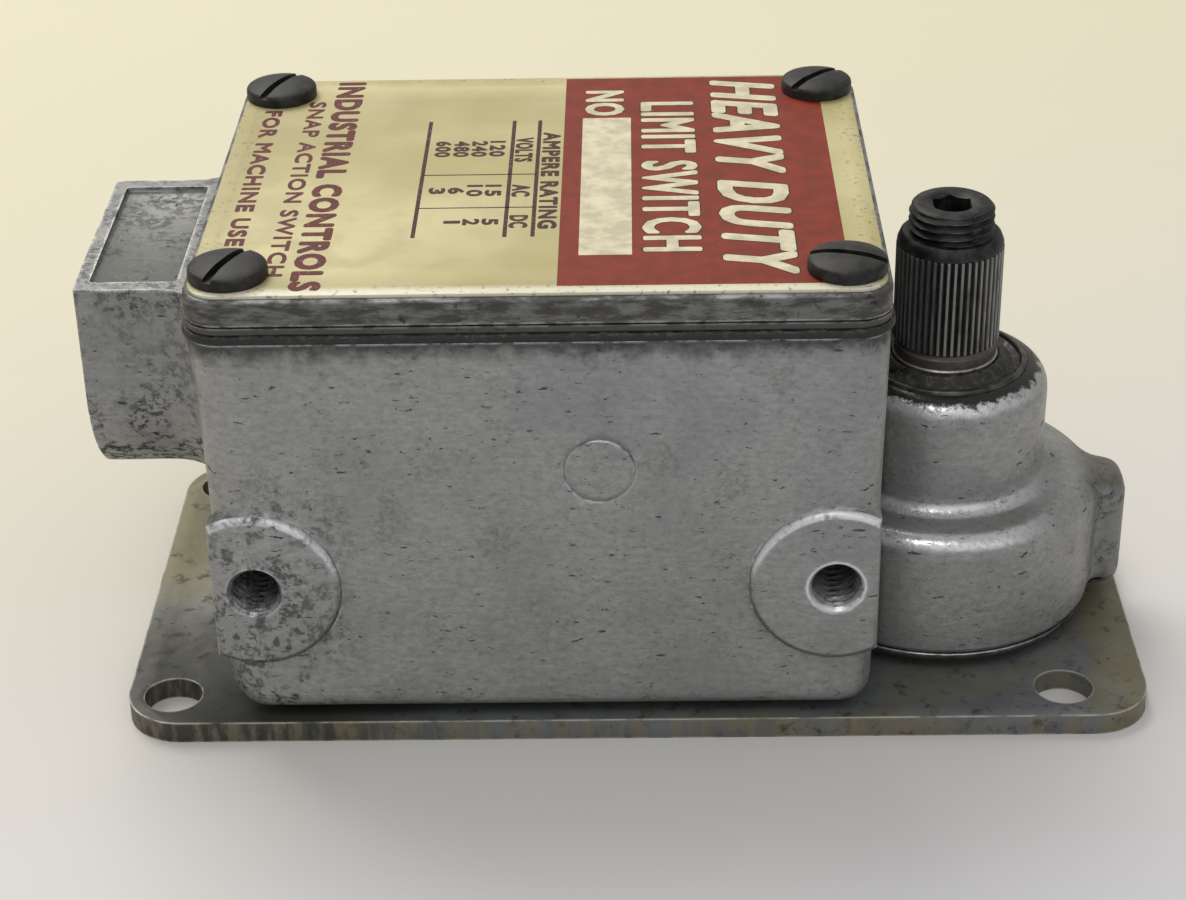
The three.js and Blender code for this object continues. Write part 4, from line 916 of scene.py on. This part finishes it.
# ---------------------------------------------------------------- contact carrier and bridges
# A moulded nylon arm carries two brass bridges whose buttons close against the fixed contacts.
nylon = Finish("cream_nylon", Metallic=0.0, Subsurface_Weight=0.12)
aged = nylon.patches(0.35, 0.7, 5.0, 4.0)
sooty = nylon.patches(0.58, 0.74, 1.6, 5.0, 0.7)
nylon_body = nylon.mix(aged, (0.6, 0.52, 0.36), (0.7, 0.64, 0.5))
nylon_finish = nylon.wear(
    Base_Color=nylon.mix(sooty * 0.5, nylon_body, (0.2, 0.16, 0.11)),
    Roughness=aged * 0.15 + 0.4 + sooty * 0.2,
    Normal=nylon.bump(nylon.noise(0.4, 3.0), 0.02))
recast("contact_carrier", "carrier_arm", "contact_carrier", nylon_finish, 0.35, 3)
brass = worn_metal("brass_strip", (0.3, 0.2, 0.075), (0.52, 0.38, 0.16), (0.75, 0.6, 0.3), 0.3)
for side in ("front", "back"):
    recast(f"bridge_contact_{side}", f"bridge_{side}", "contact_carrier", brass, 0.2)

# ---------------------------------------------------------------- contact block
# Moulded from brown phenolic, with a channel for the carrier, and held to the floor by two screws.
moulded = Finish("brown_phenolic", Metallic=0.0)
flecks = moulded.step(moulded.cells((0.9, 0.9, 0.5)), 0.28, 0.12)
tone = moulded.noise(7.0, 4.0)
powder = moulded.step(moulded.facing("Z") * 0.12 + moulded.noise(2.6, 5.0, 0.7), 0.56, 0.76)
block_body = moulded.mix(tone, (0.05, 0.018, 0.009), (0.105, 0.042, 0.02))
phenolic = moulded.wear(
    Base_Color=moulded.mix(powder * 0.45, moulded.mix(flecks * 0.35, block_body, (0.2, 0.11, 0.06)),
                           (0.22, 0.19, 0.15)),
    Roughness=tone * 0.2 + 0.3 + powder * 0.3,
    Normal=moulded.bump(moulded.noise(0.5, 4.0) + flecks * 0.3, 0.025))
recast("contact_block", "terminal_block", "case", phenolic, 0.45, 3)
zinc = worn_metal("zinc_plated_steel", (0.3, 0.295, 0.27), (0.46, 0.455, 0.42), (0.7, 0.69, 0.66), 0.32)
for i in (1, 2):
    recast(f"block_screw_{i}", f"block_fixing_{i}", "case", zinc, 0.25)

# ---------------------------------------------------------------- terminals and fixed contacts
# Bent brass straps run from the terminal screws down the channel to riveted silver buttons, which
# arcing has darkened in spots.
silver = worn_metal("silver_contact", (0.42, 0.41, 0.38), (0.66, 0.65, 0.62), (0.85, 0.84, 0.81), 0.28,
                    grain=(0.7, 0.7, 0.7))
for end in ("front_lower", "front_upper", "back_lower", "back_upper"):
    recast(f"terminal_{end}", f"strap_{end}", "case", brass, 0.15)
    recast(f"fixed_contact_{end}", f"button_{end}", "case", silver, 0.2)
    recast(f"terminal_screw_{end}", f"clamp_screw_{end}", "case", zinc, 0.2)

# ---------------------------------------------------------------- ground screw
# A hexagon-headed slotted screw, dyed green, in a pad on the floor by the conduit entry.
green = worn_metal("green_dyed_zinc", (0.008, 0.06, 0.02), (0.02, 0.13, 0.05), (0.4, 0.42, 0.36), 0.4,
                   metallic=0.55, rub=0.6)
recast("ground_screw", "earth_screw", "case", green, 0.3)

# ---------------------------------------------------------------- gasket
# Cut from black rubber sheet. The cover squeezes it until it bulges a little past the rim.
gasket_low, gasket_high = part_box("cover_gasket")
BULGE = 0.5 * MM
SCREW_XY = [tuple(middle(f"cover_screw_{i}").xy) for i in range(1, 5)]
RIM_WIDTH, GASKET_EAR_R, SCREW_HOLE_R = 3.4 * MM, 5.6 * MM, 3.3 * MM
bulge = Vector((BULGE, BULGE, 0))
gasket = slab(gasket_low - bulge, gasket_high + bulge, BOX_CORNER + BULGE)
rounded(gasket, lambda a, b: abs(a.z - b.z) < HAIR, BULGE, 5)
ears = [rod(place, GASKET_EAR_R, gasket_low.z, gasket_high.z) for place in SCREW_XY]
window = slab((gasket_low.x + RIM_WIDTH, gasket_low.y + RIM_WIDTH, gasket_low.z - MM),
              (gasket_high.x - RIM_WIDTH, gasket_high.y - RIM_WIDTH, gasket_high.z + MM), 3 * MM)
boolean(window, "DIFFERENCE", *ears)
boolean(gasket, "DIFFERENCE", window)
drilled(gasket, SCREW_XY, SCREW_HOLE_R)
fit(gasket, "rim_gasket", "case", ["cover_gasket"], black_rubber)

# ---------------------------------------------------------------- cover
# A flat aluminium die casting. A narrow lip runs round its foot, below a groove that collects dirt.
# The groove and the sides carry painted shade, and the lip is made darker.
COVER_LIP, COVER_GROOVE, GROOVE_DEPTH = 1.15 * MM, 0.3 * MM, 0.4 * MM
lid = slab(cover_low, cover_high, BOX_CORNER, steps=12)
rounded(lid, lambda a, b: min(a.z, b.z) > cover_high.z - HAIR, 0.7 * MM, 4)
rounded(lid, lambda a, b: max(a.z, b.z) < cover_low.z + HAIR, 0.3 * MM, 3)
groove_low = cover_low + Vector((-MM, -MM, COVER_LIP))
groove_high = Vector((cover_high.x + MM, cover_high.y + MM, cover_low.z + COVER_LIP + COVER_GROOVE))
groove = slab(groove_low, groove_high, BOX_CORNER)
core_in = Vector((GROOVE_DEPTH, GROOVE_DEPTH, 0))
boolean(groove, "DIFFERENCE", slab(
    Vector((cover_low.x, cover_low.y, groove_low.z - MM)) + core_in,
    Vector((cover_high.x, cover_high.y, groove_high.z + MM)) - core_in, BOX_CORNER - GROOVE_DEPTH))
boolean(lid, "DIFFERENCE", groove)
drilled(lid, SCREW_XY, SCREW_HOLE_R)

cast, lid_streaks, lid_base = aluminium("cover_aluminium")
band = cast.beyond("Z", cover_low.z + COVER_LIP, cover_low.z + COVER_LIP + COVER_GROOVE)
band_dirt = cast.patches(0.38, 0.6, (5.0, 5.0, 1.3), 6.0, 0.7) * band
chips = cast.patches(0.57, 0.68, 1.5, 5.0, 0.7) * cast.patches(0.45, 0.56, 9.0)
# Painted shade and grime in the groove and other hollows, from the occlusion mask.
groove_shade_and_grime = cast.step(cast.crevices(1.2), 0.3, 0.6)
lid_edge = cast.edges(0.6, 0.03, 0.2) * cast.patches(0.4, 0.58, 2.2, 4.0)
# Painted shade: every face of the cover that does not look up is darker.
lid_sides_shaded = cast.mix((1 - cast.turned_to("Z", 0.2, 0.6)) * 0.62, lid_base, (0.085, 0.083, 0.074))
lid_dirty = cast.mix(band_dirt * 0.85, lid_sides_shaded, (0.045, 0.043, 0.036))
# The lip at the cover's foot is made darker.
lip_darkening = cast.beyond("Z", cover_low.z + COVER_LIP + 0.2 * MM, cover_low.z + COVER_LIP) * 0.62
lid_chipped = cast.mix((chips * 0.85).strongest(groove_shade_and_grime * 0.9).strongest(lip_darkening), lid_dirty,
                       (0.025, 0.024, 0.021))
cover_finish = cast.wear(
    Base_Color=cast.mix(lid_edge * 0.75 * (1 - lip_darkening * 0.7), lid_chipped, (0.66, 0.65, 0.61)),
    Roughness=lid_streaks * 0.12 + 0.38 + band_dirt * 0.12 + chips * 0.2,
    Normal=cast.bump(cast.noise(0.6, 4.0) * 0.25 + lid_streaks * 0.25 - chips * 1.2, 0.07))
fit(lid, "lid", "cover", ["cover"], cover_finish)

# ---------------------------------------------------------------- name plate
# Brushed aluminium under cream lacquer, screen printed with generic wording in red-brown and dark ink.
# The plate lies on the cover and the four cover screws hold it down.
name_low, name_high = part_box("name_plate")
PRINT_THICK = 0.012 * MM
PRINT_LOW = name_high.z - 0.05 * MM
COPIES = 10
plate_face = slab(name_low, name_high, BOX_CORNER - 0.8 * MM)
drilled(plate_face, SCREW_XY, SCREW_HOLE_R)
soften(plate_face, 0.14 * MM)

lacquer = Finish("cream_lacquer", Metallic=0.12, Specular_IOR_Level=0.3)
brushed = lacquer.noise((30.0, 0.22, 30.0), 2.0)
yellowed = lacquer.patches(0.35, 0.66, 26.0, 3.0)
cream = lacquer.mix(yellowed, (0.4, 0.355, 0.165), (0.5, 0.45, 0.24))
dots = lacquer.specks(1.1, 0.08, 11.0, 0.5)
near_edge = lacquer.beyond("X", 0.0305, 0.0325).strongest(lacquer.beyond("Y", -0.0345, -0.0365)).strongest(
    lacquer.beyond("X", -0.0545, -0.0585)).strongest(lacquer.beyond("Y", 0.0375, 0.0395))
edge_dots = lacquer.patches(0.57, 0.66, 0.9, 5.0, 0.7) * near_edge
thumbed = lacquer.step(lacquer.noise(6.0, 5.0) + lacquer.beyond("X", -0.03, -0.06) * 0.12,
                       0.5, 0.7)
# The front strip of the plate is made lighter.
front_strip = lacquer.beyond("Y", -0.0352, -0.0372)
toned = lacquer.mix(thumbed * 0.25, cream, (0.42, 0.36, 0.24))
bright_front = lacquer.mix(front_strip * 0.55, toned, (0.8, 0.78, 0.7))
lacquer_finish = lacquer.wear(
    Base_Color=lacquer.mix((dots * 0.6).strongest(edge_dots * 0.7), bright_front, (0.09, 0.075, 0.05)),
    Roughness=brushed * 0.2 + 0.4 + thumbed * 0.12,
    Normal=lacquer.bump(brushed * 0.6 + lacquer.noise(0.5) * 0.3 - dots, 0.012))
fit(plate_face, "label_plate", "cover", ["name_plate"], lacquer_finish)


def ink(name, colour, worn, thin=0.64):
    """Printing ink, mottled, rubbed thin in spots so that the lacquer shows through."""
    paint = Finish(name, Metallic=0.0, Specular_IOR_Level=0.22)
    patchy = paint.noise(3.5, 5.0, 0.65)
    lost = paint.step(paint.noise(0.55, 4.0, 0.7) + paint.noise(8.0) * 0.12, thin, thin + 0.1)
    deep = tuple(c * 0.72 for c in colour)
    return paint.wear(
        Base_Color=paint.mix(lost * 0.7, paint.mix(paint.step(patchy, 0.35, 0.65), deep, colour), worn),
        Roughness=patchy * 0.2 + 0.46,
        Normal=paint.bump(patchy * 0.4 + paint.noise(0.4) * 0.4 - lost, 0.008))


def printed(name, pieces, material):
    """Joins flat shapes into one layer of ink on the name plate."""
    fit(joined(*pieces), name, "cover", [], material)


def patch(x_low, x_high, y_low, y_high, layer=0):
    """Rectangle of ink, in millimetres."""
    return block((x_low * MM, y_low * MM, PRINT_LOW),
                 (x_high * MM, y_high * MM, name_high.z + (layer + 1) * PRINT_THICK))


def wording(words, x_low, x_high, y_start, y_end, bold=0.2, layer=0, lean=0.0):
    """Capitals that read towards the front, between two places along the plate, in millimetres.
    They are made bold by copies shifted round a ring, each a hair lower than the one before."""
    obj = added(bpy.ops.object.text_add)
    obj.data.body = words
    obj.data.resolution_u = 3
    obj.data.space_character = 1.12
    obj.data.extrude = 0.5
    bpy.ops.object.convert(target="MESH")
    xs = [v.co.x for v in obj.data.vertices]
    ys = [v.co.y for v in obj.data.vertices]
    long, tall = max(xs) - min(xs), max(ys) - min(ys)
    height = (x_high - x_low) * MM
    width = (y_start - y_end) * MM - lean * height
    top = name_high.z + (layer + 1) * PRINT_THICK
    for vertex in obj.data.vertices:
        rising = (vertex.co.y - min(ys)) / tall * height
        reading = (vertex.co.x - min(xs)) / long * width + lean * rising
        vertex.co = (x_low * MM + rising, y_start * MM - reading, top if vertex.co.z > 0 else PRINT_LOW)
    copies = []
    for i in range(COPIES):
        twin = linked(words, obj.data.copy())
        angle = 2 * math.pi * i / COPIES
        shift = Vector((bold * MM * math.cos(angle), bold * MM * math.sin(angle),
                        -(i + 1) * 0.04 * PRINT_THICK))
        for vertex in twin.data.vertices:
            vertex.co += shift
        copies.append(twin)
    return clean(joined(obj, *copies))


red_ink = ink("red_brown_ink", (0.215, 0.028, 0.011), (0.38, 0.14, 0.07), 0.7)
maroon_ink = ink("maroon_ink", (0.12, 0.022, 0.02), (0.4, 0.3, 0.2))
dark_ink = ink("dark_brown_ink", (0.055, 0.022, 0.016), (0.35, 0.28, 0.18))
cream_ink = ink("cream_ink", (0.66, 0.6, 0.42), (0.3, 0.14, 0.09), 0.68)

right_screws = [place for place in SCREW_XY if place[0] > 0]
red_field = drilled(patch(-10.1, 29.7, -36.1, 39.6), right_screws, SCREW_HOLE_R + 0.1 * MM)
printed("red_panel", [red_field], red_ink)


def title(layer, *bolds):
    """The three large lines, each as bold as told."""
    lines = (("HEAVY DUTY", 13.0, 22.4, 37.6, -32.8), ("LIMIT SWITCH", 1.9, 9.6, 29.0, -25.3),
             ("NO", -6.7, -1.2, 34.0, 24.3))
    leans = (0.2, 0.0, 0.0)
    return [wording(*line, bold, layer, lean) for line, bold, lean in zip(lines, bolds, leans)]


printed("title_shadow", title(1, 0.72, 0.54, 0.5), dark_ink)
printed("title", title(2, 0.5, 0.34, 0.34) + [patch(-7.3, 0.1, -26.5, 23.0, 2)], cream_ink)
rules = [patch(x - 0.3, x + 0.3, -20.2, 22.4) for x in (-13.85, -17.8, -30.7)]
cross = [patch(-30.6, -13.9, y - 0.16, y + 0.16) for y in (1.75, -10.1)]
rows = [("120", "15", "5"), ("240", "10", "2"), ("480", "6", "1"), ("600", "3", "")]
figures = []
for x, row in zip((-19.0, -21.7, -24.4, -27.2), rows):
    for text, centre in zip(row, (11.5, -4.0, -15.0)):
        if text:
            half = (0.95 if text != "1" else 0.35) * len(text)
            figures.append(wording(text, x - 2.1, x, centre + half, centre - half, 0.17))
printed("rating_table", rules + cross + figures + [
    wording("AMPERE RATING", -13.1, -10.7, 17.4, -17.4, 0.2),
    wording("VOLTS", -17.2, -14.8, 15.5, 6.5, 0.18),
    wording("AC", -17.2, -14.8, -2.2, -6.2, 0.18),
    wording("DC", -17.2, -14.8, -13.0, -17.0, 0.18)], dark_ink)
printed("maker_lines", [
    wording("INDUSTRIAL CONTROLS", -46.2, -42.4, 39.0, -36.5, 0.36),
    wording("SNAP ACTION SWITCH", -50.2, -47.8, 31.0, -32.0, 0.16),
    wording("FOR MACHINE USE", -56.8, -54.4, 27.5, -22.0, 0.2)], maroon_ink)

# ---------------------------------------------------------------- cover screws
# Four cheese-headed slotted screws, blackened, with cut threads, hold the cover. Their slots stand as
# the last hand left them.
HEAD_R, HEAD_EDGE = 5.5 * MM, 0.7 * MM
SLOT_WIDTH, SLOT_DEPTH = 1.3 * MM, 1.2 * MM
SLOT_TURNS = (66, -16, 64, 46)
SCREW_THREAD, NECK_R = (2.45 * MM, 2.95 * MM, 1.0 * MM), 2.9 * MM
head_finish = worn_metal(
    "black_oxide_head", (0.009, 0.009, 0.0085), (0.03, 0.029, 0.026), (0.17, 0.16, 0.145), rough=0.5,
    grain=(1.6, 1.6, 1.6), metallic=0.45, rub=0.5)
for i, (turn, place) in enumerate(zip(SLOT_TURNS, SCREW_XY), start=1):
    screw_low, screw_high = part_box(f"cover_screw_{i}")
    seat, crown = name_high.z + HAIR, screw_high.z
    head = turned(
        [(0, name_high.z - 2 * MM), (NECK_R, name_high.z - 2 * MM), (NECK_R, seat), (HEAD_R - 0.2 * MM, seat),
         (HEAD_R, name_high.z + 0.2 * MM)]
        + arc((HEAD_R - HEAD_EDGE, crown - HEAD_EDGE - 0.6 * MM), HEAD_EDGE, 0, 62, 4)
        + [(HEAD_R - 1.3 * MM, crown - 0.42 * MM), (HEAD_R - 2.4 * MM, crown - 0.18 * MM),
           (HEAD_R - 3.8 * MM, crown - 0.04 * MM), (0, crown)], place)
    boolean(head, "UNION", threaded(
        place, *SCREW_THREAD, screw_low.z, name_high.z - 1.5 * MM, sides=24, rows=4))
    slot = block((-HEAD_R - MM, -SLOT_WIDTH / 2, screw_high.z - SLOT_DEPTH),
                 (HEAD_R + MM, SLOT_WIDTH / 2, screw_high.z + MM))
    laid_down(slot, (0, 0, math.radians(turn)))
    slot.location = (*place, 0)
    boolean(head, "DIFFERENCE", applied(slot))
    soften(head, 0.12 * MM, 2, 50)
    fit(head, f"lid_screw_{i}", "cover", [f"cover_screw_{i}"], head_finish)


# ---------------------------------------------------------------- stage
# The switch stands on a plain cream board under soft daylight from above and behind. Its colour carries
# painted light: warm cream towards the back, cool grey towards the front.
board = added(bpy.ops.mesh.primitive_plane_add, size=4.0, location=(0, 0, plate_low.z))
board.name = "board"
card = Finish("cream_board", Roughness=0.75)
cream_card = card.mix(card.noise(260.0, 1.0), (0.645, 0.6, 0.45), (0.675, 0.63, 0.475))
# Painted light: the board fades from warm cream at the back to cool grey at the front.
lit_far_side = card.step(card.along("Y") - card.along("X") * 0.35, -0.2, 0.22)
board.data.materials.append(card.wear(Base_Color=card.mix(lit_far_side, (0.6, 0.6, 0.64), cream_card)))
bpy.context.scene.view_settings.view_transform = "Standard"
LAMPS_AIM = (0, 0, 0.03)


def soft_light(name, place, size, power, colour):
    """Square lamp aimed at the switch, with its size in metres and its power in watts."""
    lamp = bpy.data.lights.new(name, "AREA")
    lamp.shape, lamp.size, lamp.energy, lamp.color = "SQUARE", size, power, colour
    obj = linked(name, lamp)
    obj.location = place
    obj.rotation_euler = (Vector(LAMPS_AIM) - Vector(place)).to_track_quat("-Z", "Y").to_euler()


soft_light("window", (-0.45, 0.75, 1.15), 0.9, 14.0, (1.0, 0.97, 0.92))
soft_light("room", (0.35, -1.1, 0.9), 1.4, 3.6, (0.97, 0.98, 1.0))
soft_light("ceiling", (-0.1, -0.42, 0.95), 0.3, 1.6, (1.0, 0.98, 0.95))
world = bpy.data.worlds.new("daylight")
world.use_nodes = True
sky = world.node_tree.nodes["Background"]
sky.inputs["Color"].default_value = (0.9, 0.9, 0.9, 1.0)
sky.inputs["Strength"].default_value = 0.56
bpy.context.scene.world = world

camera = bpy.data.cameras.new("camera")
camera.sensor_width, camera.lens = 36.0, 79.24
camera.clip_start, camera.clip_end = 0.01, 10.0
viewpoint = linked("camera", camera)
CAMERA_PLACE = (0.47 * MM, -353.34 * MM, 226.92 * MM)
DOWN, ROUND, TILT = math.radians(29.468), math.radians(1.106), math.radians(-1.176)
viewpoint.matrix_world = (
    Matrix.Translation(CAMERA_PLACE) @ Matrix.Rotation(ROUND, 4, "Z")
    @ Matrix.Rotation(math.pi / 2 - DOWN, 4, "X") @ Matrix.Rotation(TILT, 4, "Z"))
bpy.context.scene.camera = viewpoint
